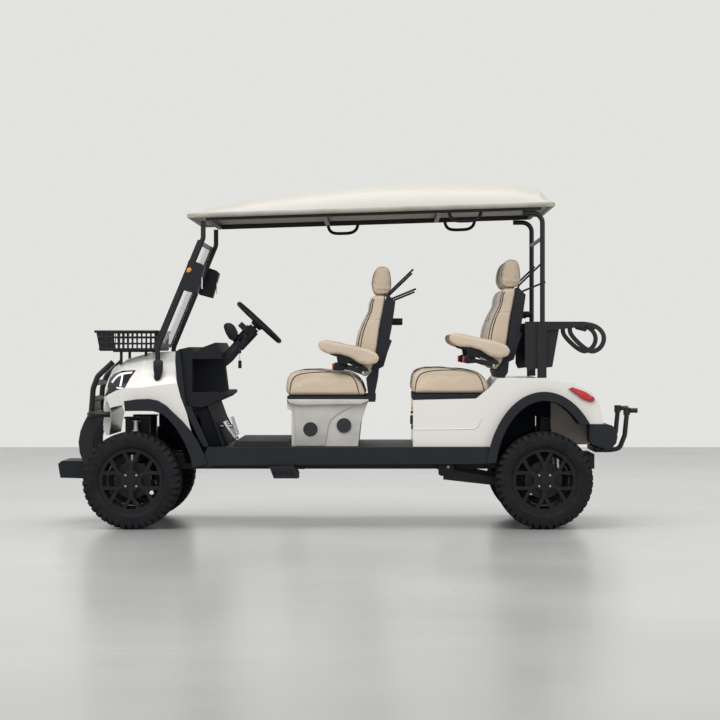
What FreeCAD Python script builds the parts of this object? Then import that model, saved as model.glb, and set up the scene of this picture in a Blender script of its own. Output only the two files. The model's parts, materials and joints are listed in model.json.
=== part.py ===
import FreeCAD, Part
import math
import os
import Sketcher
from FreeCAD import Placement, Rotation, Vector

# Four-seat lifted golf cart. Millimetres, +Z up, front towards -X, driver's side towards -Y.
# The origin is on the ground, under the centre of the bounding box.

LENGTHS = {
    # Stance
    "wheelbase": 2475,
    "front_overhang": 495,
    "rear_overhang": 590,
    "track": 1100,
    "axle_height": 292,
    "seat_gap": 0.3,
    "running_clearance": 0.05,
    "moving_clearance": 6,
    "cut_overrun": 20,
    # Tyres and rims
    "tyre_radius": 292,
    "tyre_width": 240,
    "tread_width": 208,
    "shoulder_drop": 9,
    "bead_radius": 179,
    "rim_width": 190,
    "rim_flange_radius": 197,
    "rim_flange_width": 8,
    "rim_wall": 7,
    "rim_well_depth": 19,
    "rim_well_width": 100,
    "spoke_apex_radius": 98,
    "spoke_width": 26,
    "spoke_thickness": 20,
    "spoke_setback": 12,
    "hub_radius": 62,
    "hub_length": 62,
    "cap_radius": 30,
    "cap_height": 9,
    "nut_radius": 9,
    "nut_height": 12,
    "nut_circle_radius": 46,
    "stub_radius": 20,
    "drum_radius": 112,
    "drum_length": 42,
    # Front suspension and steering
    "kingpin_inset": 60,
    "kingpin_radius": 12,
    "kingpin_length": 180,
    "kingpin_cap": 8,
    "upright_radius": 24,
    "arm_tube_radius": 12,
    "arm_eye_radius": 22,
    "arm_eye_height": 26,
    "arm_pivot_spread": 70,
    "arm_pivot_radius": 16,
    "arm_pivot_length": 40,
    "arm_pivot_rise": 25,
    "steer_arm_length": 120,
    "steer_arm_width": 26,
    "steer_arm_height": 12,
    "steer_arm_drop": 4,
    "ball_stud_radius": 7,
    "ball_stud_length": 32,
    "tie_rod_radius": 9,
    "tie_eye_radius": 15,
    "tie_eye_height": 16,
    "open_pivot_clearance": 1.5,
    "shock_radius": 34,
    "shock_body_radius": 22,
    "shock_eye_radius": 14,
    "shock_foot_inset": 190,
    "shock_top_inset": 250,
    "shock_foot_height": 262,
    "front_shock_top_height": 640,
    "rear_shock_top_height": 640,
    # Chassis
    "rail_width": 50,
    "rail_height": 90,
    "rail_offset": 215,
    "rail_bottom": 345,
    "rail_front_reach": 235,
    "rail_rear_reach": 330,
    "cross_width": 50,
    "outrigger_width": 60,
    "bracket_thickness": 10,
    "tower_length": 150,
    "tower_depth": 48,
    # Floor and rockers
    "floor_inset": 42,
    "floor_top": 492,
    "floor_skin": 14,
    "floor_rib": 30,
    "mat_height": 32,
    "mat_length": 350,
    "mat_inset": 165,
    "mat_edge": 12,
    "rocker_top": 492,
    "rocker_height": 100,
    "rocker_width": 75,
    "rocker_front_setback": 440,
    "rocker_rear_setback": 325,
    "rocker_nose": 60,
    # Front body
    "cowl_length": 500,
    "cowl_height": 800,
    "cowl_wall": 6,
    "front_arch_radius": 453,
    "flare_outer_radius": 486,
    "flare_reach": 100,
    "flare_stand": 50,
    "flare_depth": 90,
    "flare_wall": 8,
    "trim_thickness": 34,
    "dash_wall": 12,
    "kick_thickness": 14,
    "lamp_thickness": 26,
    "bumper_half_width": 340,
    "liner_wall": 5,
    "front_liner_inset": 288,
    "rear_liner_inset": 160,
    # Brush guard
    "guard_tube_radius": 17,
    "guard_bend": 60,
    "guard_spacing": 500,
    "guard_bar_length": 760,
    # Steps
    "step_length": 140,
    "step_height": 90,
    "step_width": 400,
    "step_arm_radius": 14,
    "side_step_width": 90,
    "side_step_reach": 27,
    # Basket
    "basket_length": 400,
    "basket_width": 900,
    "basket_height": 118,
    "basket_wall": 5,
    "basket_corner": 60,
    "basket_front_reach": 268,
    "basket_bottom": 1071,
    # Windscreen, pillars, mirrors
    "pillar_inset": 40,
    "pillar_radius": 15,
    "pillar_bend": 60,
    "pillar_foot_half_height": 60,
    "screen_gap": 28,
    "screen_thickness": 5,
    "screen_frame": 22,
    "mirror_width": 120,
    "mirror_height": 203,
    "mirror_depth": 138,
    "mirror_stalk_length": 16.7,
    "mirror_stalk_radius": 9,
    # Roof
    "roof_side_reach": 15,
    "roof_front_reach": 333,
    "roof_rear_reach": 64,
    "roof_rim_height": 1868,
    "roof_rise": 220,
    "roof_climb": 70,
    "roof_lip": 24,
    "roof_liner": 6,
    "roof_skin": 8,
    "rail_tube_width": 26,
    "rail_tube_height": 29,
    "handle_radius": 9,
    "handle_drop": 62,
    "handle_length": 190,
    "handle_bend": 50,
    # Rear struts and bag rack
    "strut_radius": 15,
    "strut_bend": 60,
    "strut_setback": 16,
    "rack_post_length": 54,
    "rack_post_width": 30,
    "rack_top": 1245,
    "rack_beam_height": 60,
    "rack_beam_reach": 231,
    "rack_plate": 10,
    "strap_width": 60,
    "strap_thickness": 5,
    "rod_radius": 6,
    "rod_bend": 20,
    "knob_radius": 19,
    # Dashboard area
    "column_offset": 300,
    "wheel_rim_radius": 165,
    "wheel_grip_radius": 15,
    "wheel_hub_radius": 48,
    "wheel_hub_height": 36,
    "wheel_spoke_width": 34,
    "wheel_spoke_thickness": 12,
    "steer_shaft_radius": 11,
    "steer_shaft_length": 110,
    "column_length": 300,
    "column_radius": 32,
    "column_gap": 7,
    "pod_radius": 50,
    "pod_thickness": 34,
    "pedal_width": 90,
    "pedal_thickness": 8,
    "pedal_gap": 60,
    # Seats
    "seat_split": 14,
    "cushion_length": 497,
    "cushion_height": 160,
    "cushion_bottom": 797,
    "back_height": 620,
    "shell_gap": 1,
    "headrest_width": 250,
    "headrest_length": 122,
    "headrest_height": 177,
    "tray_height": 36,
    "base_wall": 8,
    "base_half_width": 480,
    "front_seat_setback": 914,
    "rear_seat_lead": 804,
    "rear_back_shift": 30,
    "rear_back_rise": 30,
    "arm_width": 60,
    "arm_gap": 8,
    "arm_pin_radius": 8,
    "arm_length": 367,
    "arm_height": 165,
    "ear_thickness": 12,
    "ear_radius": 24,
    "speaker_radius": 44,
    "speaker_depth": 9,
    "battery_height": 190,
    # Rear body
    "rear_body_length": 800,
    "rear_body_height": 620,
    "side_panel_width": 86,
    "rear_body_wall": 8,
    "rear_arch_half_length": 325,
    "rear_arch_height": 505,
    "flare_overlap": 27,
    "rear_bumper_half_width": 610,
    "tail_lamp_depth": 14,
    "rest_tube_radius": 15,
    "rest_bend": 40,
    "rest_spacing": 600,
    "stub_pin_radius": 15,
    "stub_pin_length": 44,
    "clamp_radius": 21,
    "clamp_length": 46,
    # Rear axle
    "axle_tube_radius": 38,
    "axle_half_length": 420,
    "gearbox_radius": 105,
    "gearbox_width": 150,
    "motor_radius": 84,
    "motor_drop": 46,
    "motor_length": 260,
    "trailing_arm_height": 60,
    "trailing_arm_width": 36,
    "trailing_arm_offset": 380,
    "trailing_arm_reach": 600,
}

ANGLES = {
    "steering_column_angle": 47,
    "spoke_fork_angle": 15,
    "front_flare_start": 12,
    "front_flare_sweep": 83,
}

COUNTS = {
    "spoke_count": 6,
    "nut_count": 4,
}


class Size:
    """A length or angle: its value now, and the expression of sheet cells that gives it."""

    def __init__(self, value, text):
        self.value = value
        self.text = text

    def __add__(self, other):
        other = as_size(other)
        return Size(self.value + other.value, "(%s + %s)" % (self.text, other.text))

    def __sub__(self, other):
        other = as_size(other)
        return Size(self.value - other.value, "(%s - %s)" % (self.text, other.text))

    def __mul__(self, factor):
        factor = as_size(factor)
        return Size(self.value * factor.value, "%s * %s" % (self.text, factor.text))

    def __truediv__(self, factor):
        factor = as_size(factor)
        return Size(self.value / factor.value, "%s / %s" % (self.text, factor.text))

    def __neg__(self):
        return Size(-self.value, "(0 - %s)" % self.text)


def as_size(number):
    """Give a Size for a plain factor or zero, or the Size itself."""
    if isinstance(number, Size):
        return number
    return Size(float(number), "(%r)" % float(number))


def number_of(size):
    """Give the plain value of a Size or number."""
    return size.value if isinstance(size, Size) else float(size)


class Sizes:
    """The sheet's cells by name, as Size objects."""

    def __init__(self, cells):
        for name, value in cells.items():
            setattr(self, name, Size(float(value), "Dims." + name))


def fill_sheet(document, cells):
    """Write each named value into the sheet, one row each, with its name as alias."""
    sheet = document.addObject("Spreadsheet::Sheet", "Dims")
    for row, (name, value) in enumerate(cells.items(), start=1):
        sheet.set("A%d" % row, name)
        sheet.set("B%d" % row, str(value))
        sheet.setAlias("B%d" % row, name)
    document.recompute()
    return sheet


CELLS = {**LENGTHS, **ANGLES, **COUNTS}
doc = FreeCAD.newDocument("GolfCart")
fill_sheet(doc, CELLS)
d = Sizes(CELLS)
pieces = {}

AXIS_X = Vector(1, 0, 0)
AXIS_Y = Vector(0, 1, 0)
AXIS_Z = Vector(0, 0, 1)
ALONG_X = Rotation(AXIS_Y, 90)
ALONG_Y = Rotation(AXIS_X, -90)
SIDES = {"left": -1, "right": 1}


# Document helpers

def bind(item, prop, size):
    """Tie a property to the sheet."""
    item.setExpression(prop, as_size(size).text)


def place(item, x, y, z, rotation=None):
    """Put an object at a point that the sheet gives."""
    point = Vector(number_of(x), number_of(y), number_of(z))
    item.Placement = Placement(point, rotation or Rotation())
    for axis, size in zip("xyz", (x, y, z)):
        bind(item, "Placement.Base." + axis, size)
    return item


def box(name, x, y, z):
    """Make a box from three pairs of Sizes, each a low and a high end."""
    item = doc.addObject("Part::Box", name)
    for prop, (low, high) in zip(("Length", "Width", "Height"), (x, y, z)):
        setattr(item, prop, number_of(high) - number_of(low))
        bind(item, prop, as_size(high) - low)
    return place(item, x[0], y[0], z[0])


def cylinder(name, radius, length, at, rotation=None):
    """Make a cylinder that starts at a point and runs along the turned +Z."""
    item = doc.addObject("Part::Cylinder", name)
    item.Radius = number_of(radius)
    item.Height = number_of(length)
    bind(item, "Radius", radius)
    bind(item, "Height", length)
    return place(item, *at, rotation=rotation)


def tube_between(name, radius, start, end):
    """Make a straight round bar from one point to another, both worked out from the sheet."""
    a = Vector(*[number_of(size) for size in start])
    b = Vector(*[number_of(size) for size in end])
    return solid(name, Part.makeCylinder(number_of(radius), (b - a).Length, a, b - a))


def solid(name, shape):
    """Put a shape worked out from the sheet's values into the document."""
    item = doc.addObject("Part::Feature", name)
    item.Shape = shape
    return item


def fuse(name, items):
    item = doc.addObject("Part::MultiFuse", name)
    item.Shapes = items
    return item


def cut(name, base, tools):
    """Cut one object, or several fused, from another."""
    item = doc.addObject("Part::Cut", name)
    item.Base = base
    item.Tool = tools[0] if len(tools) == 1 else fuse(name + "_tools", tools)
    return item


def together(name, items):
    """Hold solids that don't touch as one sub-part."""
    item = doc.addObject("Part::Compound", name)
    item.Links = items
    return item


def mirrored(name, item):
    """Give the copy on the other side of the cart."""
    twin = doc.addObject("Part::Mirroring", name)
    twin.Source = item
    twin.Normal = AXIS_Y
    return twin


def both_sides(name, item):
    """Hold a solid and its mirror image as one sub-part."""
    return together(name, [item, mirrored(name + "_twin", item)])


def fused_sides(name, items, middle):
    """Fuse solids, their mirror images and what joins them in the middle."""
    twins = [mirrored(item.Name + "_twin", item) for item in items]
    return fuse(name, items + twins + middle)


def piece(node, item):
    """Name a finished sub-part for its file."""
    item.Label = node
    pieces[node] = item
    return item


ROLES = {"X": "YZ_Plane", "Y": "XZ_Plane", "Z": "XY_Plane"}


def outline_body(name, normal, points):
    """Make a body with a closed sketch of straight runs on one of its own origin planes."""
    body = doc.addObject("PartDesign::Body", name)
    sketch = body.newObject("Sketcher::SketchObject", name + "_sketch")
    plane = next(item for item in body.Origin.OriginFeatures if item.Role == ROLES[normal])
    sketch.AttachmentSupport = (plane, "")
    sketch.MapMode = "FlatFace"
    flat = [Vector(number_of(a), number_of(b), 0) for a, b in points]
    lines = [Part.LineSegment(a, b) for a, b in zip(flat, flat[1:] + flat[:1])]
    first = sketch.addGeometry(lines, False)[0]
    total = len(lines)
    joins = []
    for index in range(total):
        joins.append(Sketcher.Constraint("Coincident", first + index, 2, first + (index + 1) % total, 1))
    sketch.addConstraint(joins)
    for index, (a, b) in enumerate(points):
        for kind, size in (("DistanceX", a), ("DistanceY", b)):
            found = sketch.addConstraint(Sketcher.Constraint(kind, -1, 1, index, 1, number_of(size)))
            sketch.setExpression("Constraints[%d]" % found, as_size(size).text)
    return body, sketch


def prism(name, normal, points, low, high):
    """Pad a closed outline along one axis, from a low to a high place."""
    body, sketch = outline_body(name, normal, points)
    pad = body.newObject("PartDesign::Pad", name + "_pad")
    pad.Profile = sketch
    pad.Length = number_of(high) - number_of(low)
    bind(pad, "Length", as_size(high) - low)
    start = high if normal == "Y" else low
    at = {"X": (start, 0, 0), "Y": (0, start, 0), "Z": (0, 0, start)}[normal]
    return place(body, *at)


def pipe(name, radius, bend, points):
    """Join straight round runs with tangent bends, each bend kept within its shorter run."""
    route = [Vector(*[number_of(size) for size in point]) for point in points]
    stretches = []
    start = route[0]
    for before, corner, after in zip(route, route[1:], route[2:]):
        into = (corner - before).normalize()
        out = (after - corner).normalize()
        half = into.getAngle(out) / 2
        room = min((corner - before).Length, (after - corner).Length) / 2
        reach = min(number_of(bend) * math.tan(half), room)
        turn_radius = reach / math.tan(half)
        entry = corner - into * reach
        to_centre = (out - into).normalize()
        centre = corner + to_centre * (turn_radius / math.cos(half))
        if (entry - start).Length > 1e-6:
            stretches.append(Part.makeCylinder(number_of(radius), (entry - start).Length, start, into))
        ring = Part.Face(Part.Wire(Part.makeCircle(number_of(radius), entry, into)))
        stretches.append(ring.revolve(centre, into.cross(out), math.degrees(2 * half)))
        start = corner + out * reach
    last = route[-1] - start
    stretches.append(Part.makeCylinder(number_of(radius), last.Length, start, last))
    return solid(name, stretches[0].multiFuse(stretches[1:]))


def revolved(name, points):
    """Revolve a closed outline of (along, radius) points round the Y axis, centred at zero."""
    corners = [Vector(0, number_of(along), number_of(radius)) for along, radius in points]
    face = Part.Face(Part.makePolygon(corners + corners[:1]))
    return face.revolve(Vector(), AXIS_Y, 360)


def at_shares(x, z, length, height, shares):
    """Turn shares of a length and a height, from a corner, into outline points."""
    return [(x + length * along, z + height * up) for along, up in shares]


def moved(shape, x, y, z):
    """Give a copy of a plain shape moved to a point."""
    copy = shape.copy()
    copy.translate(Vector(number_of(x), number_of(y), number_of(z)))
    return copy


# Places that the stance gives

front_x = (d.front_overhang - d.wheelbase - d.rear_overhang) / 2
rear_x = front_x + d.wheelbase
half_track = d.track / 2
flare_half = half_track + d.flare_reach
body_half = flare_half - d.flare_stand
floor_half = body_half - d.floor_inset
pillar_y = body_half - d.pillar_inset
screen_half = pillar_y - d.pillar_radius
roof_half = body_half + d.roof_side_reach
seat_half = body_half - d.side_panel_width - d.arm_gap
kingpin_y = half_track - d.kingpin_inset
kingpin_low = d.axle_height - d.kingpin_length / 2
kingpin_high = d.axle_height + d.kingpin_length / 2
steer_end_x = front_x + d.steer_arm_length
rail_inner = as_size(d.rail_offset)
rail_outer = d.rail_offset + d.rail_width
rail_top = d.rail_bottom + d.rail_height
floor_bottom = rail_top + d.seat_gap
rocker_front_x = front_x + d.rocker_front_setback
rocker_rear_x = rear_x - d.rocker_rear_setback
rocker_bottom = d.rocker_top - d.rocker_height


def front_points(shares):
    """Give outline points measured from the front axle, in shares of the cowl's size."""
    return at_shares(front_x, d.axle_height, d.cowl_length, d.cowl_height, shares)


def rear_points(shares):
    """Give outline points measured from the rear axle, in shares of the rear body's size."""
    return at_shares(rear_x, d.axle_height, d.rear_body_length, d.rear_body_height, shares)


# Wheels

def tyre_shape():
    half = d.tyre_width / 2
    tread = d.tread_width / 2
    bead = d.rim_width / 2 - d.rim_flange_width - d.seat_gap
    flange_top = d.rim_flange_radius + d.seat_gap * 6
    wall = d.tyre_radius - d.rim_flange_radius
    profile = [
        (-bead, d.bead_radius + d.seat_gap),
        (-bead, flange_top),
        (-half, flange_top + wall * 0.35),
        (-half, flange_top + wall * 0.62),
        (-tread, d.tyre_radius - d.shoulder_drop),
        (-tread * 0.6, as_size(d.tyre_radius)),
        (tread * 0.6, as_size(d.tyre_radius)),
        (tread, d.tyre_radius - d.shoulder_drop),
        (half, flange_top + wall * 0.62),
        (half, flange_top + wall * 0.35),
        (bead, flange_top),
        (bead, d.bead_radius + d.seat_gap),
    ]
    return revolved("tyre", profile)


def rim_barrel():
    half = d.rim_width / 2
    lip = half - d.rim_flange_width
    well = d.rim_well_width / 2
    outer = [
        (-half, d.rim_flange_radius),
        (-lip, d.rim_flange_radius),
        (-lip, d.bead_radius),
        (-well - d.rim_well_depth, d.bead_radius),
        (-well, d.bead_radius - d.rim_well_depth),
        (well, d.bead_radius - d.rim_well_depth),
        (well + d.rim_well_depth, d.bead_radius),
        (lip, d.bead_radius),
        (lip, d.rim_flange_radius),
        (half, d.rim_flange_radius),
    ]
    inner = [
        (half, d.bead_radius - d.rim_wall),
        (well + d.rim_well_depth, d.bead_radius - d.rim_wall),
        (well, d.bead_radius - d.rim_well_depth - d.rim_wall),
        (-well, d.bead_radius - d.rim_well_depth - d.rim_wall),
        (-well - d.rim_well_depth, d.bead_radius - d.rim_wall),
        (-half, d.bead_radius - d.rim_wall),
    ]
    return revolved("rim_barrel", outer + inner)


def rim_spoke(outer_y):
    """Make one forked spoke that points up, from the hub to the barrel."""
    apex = d.spoke_apex_radius.value
    end = d.bead_radius.value - d.rim_wall.value / 2
    half = d.spoke_width.value / 2
    angle = math.radians(d.spoke_fork_angle.value)
    foot = Vector(half, 0, d.hub_radius.value / 2)
    points = [foot, Vector(half, 0, apex)]
    tip = Vector(math.sin(angle) * end, 0, math.cos(angle) * end)
    side = Vector(math.cos(angle), 0, -math.sin(angle)) * half
    points += [tip + side, tip - side, Vector(0, 0, apex + half)]
    left = [Vector(-point.x, 0, point.z) for point in reversed(points[:-1])]
    wire = Part.makePolygon(points + left + points[:1])
    body = Part.Face(wire).extrude(AXIS_Y * d.spoke_thickness.value)
    return moved(body, 0, outer_y - d.spoke_thickness, 0)


def rim_shape():
    """Make a rim whose outer face looks along +Y, with its bore open inwards."""
    face_y = d.rim_width / 2 - d.spoke_setback
    barrel = rim_barrel()
    parts = []
    spoke = rim_spoke(face_y)
    for index in range(int(d.spoke_count.value)):
        turned = spoke.copy()
        turned.rotate(Vector(), AXIS_Y, 360 * index / d.spoke_count.value)
        parts.append(turned)
    hub_y = face_y.value - d.hub_length.value
    parts.append(Part.makeCylinder(d.hub_radius.value, d.hub_length.value, Vector(0, hub_y, 0), AXIS_Y))
    cap = Part.makeCylinder(d.cap_radius.value, d.cap_height.value, Vector(0, face_y.value, 0), AXIS_Y)
    parts.append(cap)
    for index in range(int(d.nut_count.value)):
        angle = math.radians(45 + 360 * index / d.nut_count.value)
        at = Vector(math.cos(angle), 0, math.sin(angle)) * d.nut_circle_radius.value
        at.y = face_y.value
        parts.append(Part.makeCylinder(d.nut_radius.value, d.nut_height.value, at, AXIS_Y))
    whole = barrel.multiFuse(parts)
    bore_length = d.hub_length.value - d.rim_wall.value
    bore_radius = d.stub_radius.value + d.running_clearance.value
    bore = Part.makeCylinder(bore_radius, bore_length, Vector(0, hub_y, 0), AXIS_Y)
    return whole.cut(bore).removeSplitter()


WHEEL_PLACES = {
    "front_left": (front_x, "left"),
    "front_right": (front_x, "right"),
    "rear_left": (rear_x, "left"),
    "rear_right": (rear_x, "right"),
}

tyre = tyre_shape()
rim = rim_shape()
for wheel, (wheel_x, side) in WHEEL_PLACES.items():
    turn = Rotation(AXIS_Z, 180) if side == "left" else Rotation()
    for kind, shape in (("tyre", tyre), ("rim", rim)):
        item = solid("%s_%s" % (kind, wheel), shape)
        place(item, wheel_x, half_track * SIDES[side], d.axle_height, turn)
        piece("%s_%s" % (kind, wheel), item)


# Front knuckles: kingpin, upright, brake drum, stub axle and steering arm

hub_inner_y = half_track + d.rim_width / 2 - d.spoke_setback - d.hub_length
stub_end_y = hub_inner_y + d.hub_length - d.rim_wall - d.moving_clearance
eye_low_top = kingpin_low + d.arm_eye_height / 2
eye_high_bottom = kingpin_high - d.arm_eye_height / 2


def knuckle(side):
    """Make a knuckle on the right-hand side, then mirror it for the left."""
    prefix = "knuckle_%s_" % side
    pin_low = kingpin_low - d.arm_eye_height / 2 - d.kingpin_cap
    pin_length = d.kingpin_length + d.arm_eye_height + d.kingpin_cap * 2
    kingpin = cylinder(prefix + "pin", d.kingpin_radius, pin_length, (front_x, kingpin_y, pin_low))
    upright_low = eye_low_top + d.seat_gap
    upright_length = eye_high_bottom - d.seat_gap - upright_low
    upright = cylinder(prefix + "upright", d.upright_radius, upright_length,
                       (front_x, kingpin_y, upright_low))
    stub = cylinder(prefix + "stub", d.stub_radius, stub_end_y - kingpin_y,
                    (front_x, kingpin_y, d.axle_height), ALONG_Y)
    drum_y = hub_inner_y - d.moving_clearance - d.drum_length
    drum = cylinder(prefix + "drum", d.drum_radius, d.drum_length, (front_x, drum_y, d.axle_height), ALONG_Y)
    arm_top = d.axle_height - d.steer_arm_drop
    arm_low = arm_top - d.steer_arm_height
    arm = box(prefix + "arm", (front_x, steer_end_x + d.steer_arm_width / 2),
              (kingpin_y - d.steer_arm_width / 2, kingpin_y + d.steer_arm_width / 2), (arm_low, arm_top))
    stud = cylinder(prefix + "stud", d.ball_stud_radius, d.ball_stud_length + d.steer_arm_height / 2,
                    (steer_end_x, kingpin_y, arm_low - d.ball_stud_length))
    whole = fuse(prefix + "right", [kingpin, upright, stub, drum, arm, stud])
    return mirrored(prefix + "mirror", whole) if side == "left" else whole


for side in SIDES:
    piece("knuckle_" + side, knuckle(side))


# Tie rod: an eye round each steering arm's stud, the right one with room to drift

def tie_rod():
    arm_low = d.axle_height - d.steer_arm_drop - d.steer_arm_height
    eye_top = arm_low - d.moving_clearance
    eye_low = eye_top - d.tie_eye_height
    eyes = []
    bores = []
    for side, clearance in (("left", d.running_clearance), ("right", d.open_pivot_clearance)):
        y = kingpin_y * SIDES[side]
        at = (steer_end_x, y, eye_low)
        eyes.append(cylinder("tie_eye_" + side, d.tie_eye_radius, d.tie_eye_height, at))
        bore_at = (steer_end_x, y, eye_low - d.cut_overrun)
        bores.append(cylinder("tie_bore_" + side, d.ball_stud_radius + clearance,
                              d.tie_eye_height + d.cut_overrun * 2, bore_at))
    middle_z = eye_low + d.tie_eye_height / 2
    inner_y = kingpin_y - d.tie_eye_radius * 0.8
    bar = cylinder("tie_bar", d.tie_rod_radius * 0.8, inner_y * 2,
                   (steer_end_x, -inner_y, middle_z), ALONG_Y)
    sleeve = cylinder("tie_sleeve", d.tie_rod_radius, inner_y,
                      (steer_end_x, -inner_y / 2, middle_z), ALONG_Y)
    return cut("tie_rod_cut", fuse("tie_rod_body", eyes + [bar, sleeve]), bores)


piece("tie_rod", tie_rod())


# Front suspension arms and rear trailing arms

shock_foot_y = half_track - d.shock_foot_inset
shock_top_y = half_track - d.shock_top_inset
shock_seat_z = d.shock_foot_height - d.shock_eye_radius - d.seat_gap


def wishbone(name, eye_z, pivot_z, extra=()):
    """Make a V-shaped arm with an eye round the kingpin and two pivot barrels at the rail."""
    eye_at = (front_x, kingpin_y, eye_z - d.arm_eye_height / 2)
    eye = cylinder(name + "_eye", d.arm_eye_radius, d.arm_eye_height, eye_at)
    pivot_y = rail_outer + d.arm_pivot_radius
    legs = []
    for way in (-1, 1):
        pivot_x = front_x + d.arm_pivot_spread * way
        tip = "%s_%s" % (name, "front" if way < 0 else "rear")
        legs.append(tube_between(tip + "_leg", d.arm_tube_radius, (pivot_x, pivot_y, pivot_z),
                                 (front_x + d.arm_tube_radius * way, kingpin_y - d.kingpin_radius, eye_z)))
        legs.append(cylinder(tip + "_barrel", d.arm_pivot_radius, d.arm_pivot_length,
                             (pivot_x - d.arm_pivot_length / 2, pivot_y, pivot_z), ALONG_X))
    bore_at = (front_x, kingpin_y, eye_z - d.arm_eye_height)
    bore = cylinder(name + "_bore", d.kingpin_radius + d.running_clearance, d.arm_eye_height * 2, bore_at)
    return cut(name, fuse(name + "_body", [eye, *legs, *extra]), [bore])


lower_pivot_z = kingpin_low + d.arm_pivot_rise
upper_pivot_z = d.rail_bottom + d.rail_height / 2
seat_reach = d.arm_pivot_spread * 0.7
shock_seat = box("lower_arm_shock_seat", (front_x - seat_reach, front_x + seat_reach),
                 (shock_foot_y - d.shock_eye_radius, shock_foot_y + d.shock_eye_radius),
                 (kingpin_low + d.arm_tube_radius * 0.5, shock_seat_z))
wishbones = [
    wishbone("lower_arm", kingpin_low, lower_pivot_z, [shock_seat]),
    wishbone("upper_arm", kingpin_high, upper_pivot_z),
]
arm_y = d.trailing_arm_offset
trailing_front_x = rear_x - d.trailing_arm_reach
trailing = prism(
    "trailing_arm", "Y",
    [
        (trailing_front_x, d.rail_bottom - d.trailing_arm_height * 0.3),
        (trailing_front_x + d.trailing_arm_height, d.rail_bottom),
        (rear_x - d.axle_tube_radius, d.axle_height - d.axle_tube_radius - d.seat_gap),
        (rear_x + d.axle_tube_radius, d.axle_height - d.axle_tube_radius - d.seat_gap),
        (rear_x + d.axle_tube_radius, d.axle_height - d.axle_tube_radius - d.trailing_arm_height / 2),
        (rear_x - d.trailing_arm_height, d.axle_height - d.axle_tube_radius - d.trailing_arm_height / 2),
        (trailing_front_x, d.rail_bottom - d.trailing_arm_height),
    ],
    arm_y - d.trailing_arm_width, arm_y)
arm_set = wishbones + [trailing]
piece("suspension_arms", together("suspension_arms_set",
                                  arm_set + [mirrored(item.Name + "_twin", item) for item in arm_set]))


# Shock absorbers with their springs

def shock(name, foot, top):
    """Make a damper with an eye at each end and the spring's outer form round it."""
    a = Vector(*[number_of(size) for size in foot])
    b = Vector(*[number_of(size) for size in top])
    along = (b - a).normalize()
    length = (b - a).Length
    parts = [Part.makeCylinder(d.shock_body_radius.value, length, a, along)]
    low = a + along * (length * 0.18)
    parts.append(Part.makeCylinder(d.shock_radius.value, length * 0.66, low, along))
    for end in (a, b):
        eye = Part.makeCylinder(d.shock_eye_radius.value, d.shock_body_radius.value * 2,
                                end - AXIS_X * d.shock_body_radius.value, AXIS_X)
        parts.append(eye)
    return solid(name, parts[0].multiFuse(parts[1:]))


shocks = [
    shock("front_shock", (front_x, shock_foot_y, d.shock_foot_height),
          (front_x, shock_top_y, d.front_shock_top_height)),
    shock("rear_shock", (rear_x + d.axle_tube_radius * 2, shock_foot_y, d.shock_foot_height),
          (rear_x + d.axle_tube_radius * 2, shock_top_y, d.rear_shock_top_height)),
]
piece("shock_absorbers", together("shock_set", shocks + [mirrored(item.Name + "_twin", item)
                                                         for item in shocks]))


# Chassis: two rails, cross members, outriggers, towers and pivot brackets

def chassis():
    rail = box("rail", (front_x - d.rail_front_reach, rear_x + d.rail_rear_reach),
               (rail_inner, rail_outer), (d.rail_bottom, rail_top))
    sides = [rail]
    for index, x in enumerate((rocker_front_x, rocker_rear_x - d.outrigger_width)):
        sides.append(box("outrigger_%d" % index, (x, x + d.outrigger_width),
                         (rail_inner, floor_half), (d.rail_bottom + d.rail_height / 2, rail_top)))
    for index, way in enumerate((-1, 1)):
        x = front_x + d.arm_pivot_spread * way
        sides.append(box("pivot_plate_%d" % index,
                         (x - d.bracket_thickness / 2, x + d.bracket_thickness / 2),
                         (rail_inner, rail_outer), (kingpin_low, d.rail_bottom)))
    for name, x, top in (("front", front_x, d.front_shock_top_height),
                         ("rear", rear_x + d.axle_tube_radius * 2, d.rear_shock_top_height)):
        tower_low = rail_outer - d.bracket_thickness
        cap_low = top + d.shock_eye_radius + d.seat_gap
        tower_x = (x - d.tower_length / 2, x + d.tower_length / 2)
        sides.append(box(name + "_tower", tower_x, (tower_low - d.tower_depth, tower_low),
                         (rail_top, cap_low + d.bracket_thickness)))
        sides.append(box(name + "_tower_cap", tower_x, (tower_low, shock_top_y + d.shock_radius),
                         (cap_low, cap_low + d.bracket_thickness)))
    pivot_x = trailing_front_x + d.trailing_arm_height / 2
    pivot_z = d.rail_bottom - d.trailing_arm_height / 2
    sides.append(box("trailing_hanger", (pivot_x - d.arm_pivot_length / 2, pivot_x + d.arm_pivot_length / 2),
                     (rail_inner, rail_outer), (pivot_z - d.arm_pivot_radius, as_size(d.rail_bottom))))
    pivot_length = arm_y - d.trailing_arm_width - d.seat_gap - rail_inner
    sides.append(cylinder("trailing_pivot", d.arm_pivot_radius, pivot_length,
                          (pivot_x, rail_inner, pivot_z), ALONG_Y))
    bars = []
    bar_places = (front_x - d.rail_front_reach, front_x + d.rocker_front_setback,
                  (rocker_front_x + rocker_rear_x) / 2,
                  rear_x - d.trailing_arm_reach, rear_x + d.rail_rear_reach - d.cross_width)
    for index, x in enumerate(bar_places):
        bars.append(box("cross_%d" % index, (x, x + d.cross_width), (-rail_inner, rail_inner),
                        (d.rail_bottom, rail_top)))
    for name, x, top in (("front", front_x, d.front_shock_top_height),
                         ("rear", rear_x + d.axle_tube_radius * 2, d.rear_shock_top_height)):
        bars.append(box(name + "_tower_bar", (x - d.cross_width / 2, x + d.cross_width / 2),
                        (-rail_inner, rail_inner), (top - d.cross_width, as_size(top))))
    return fused_sides("chassis_body", sides, bars)


piece("chassis_frame", chassis())


# Floor, mat and rockers

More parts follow.
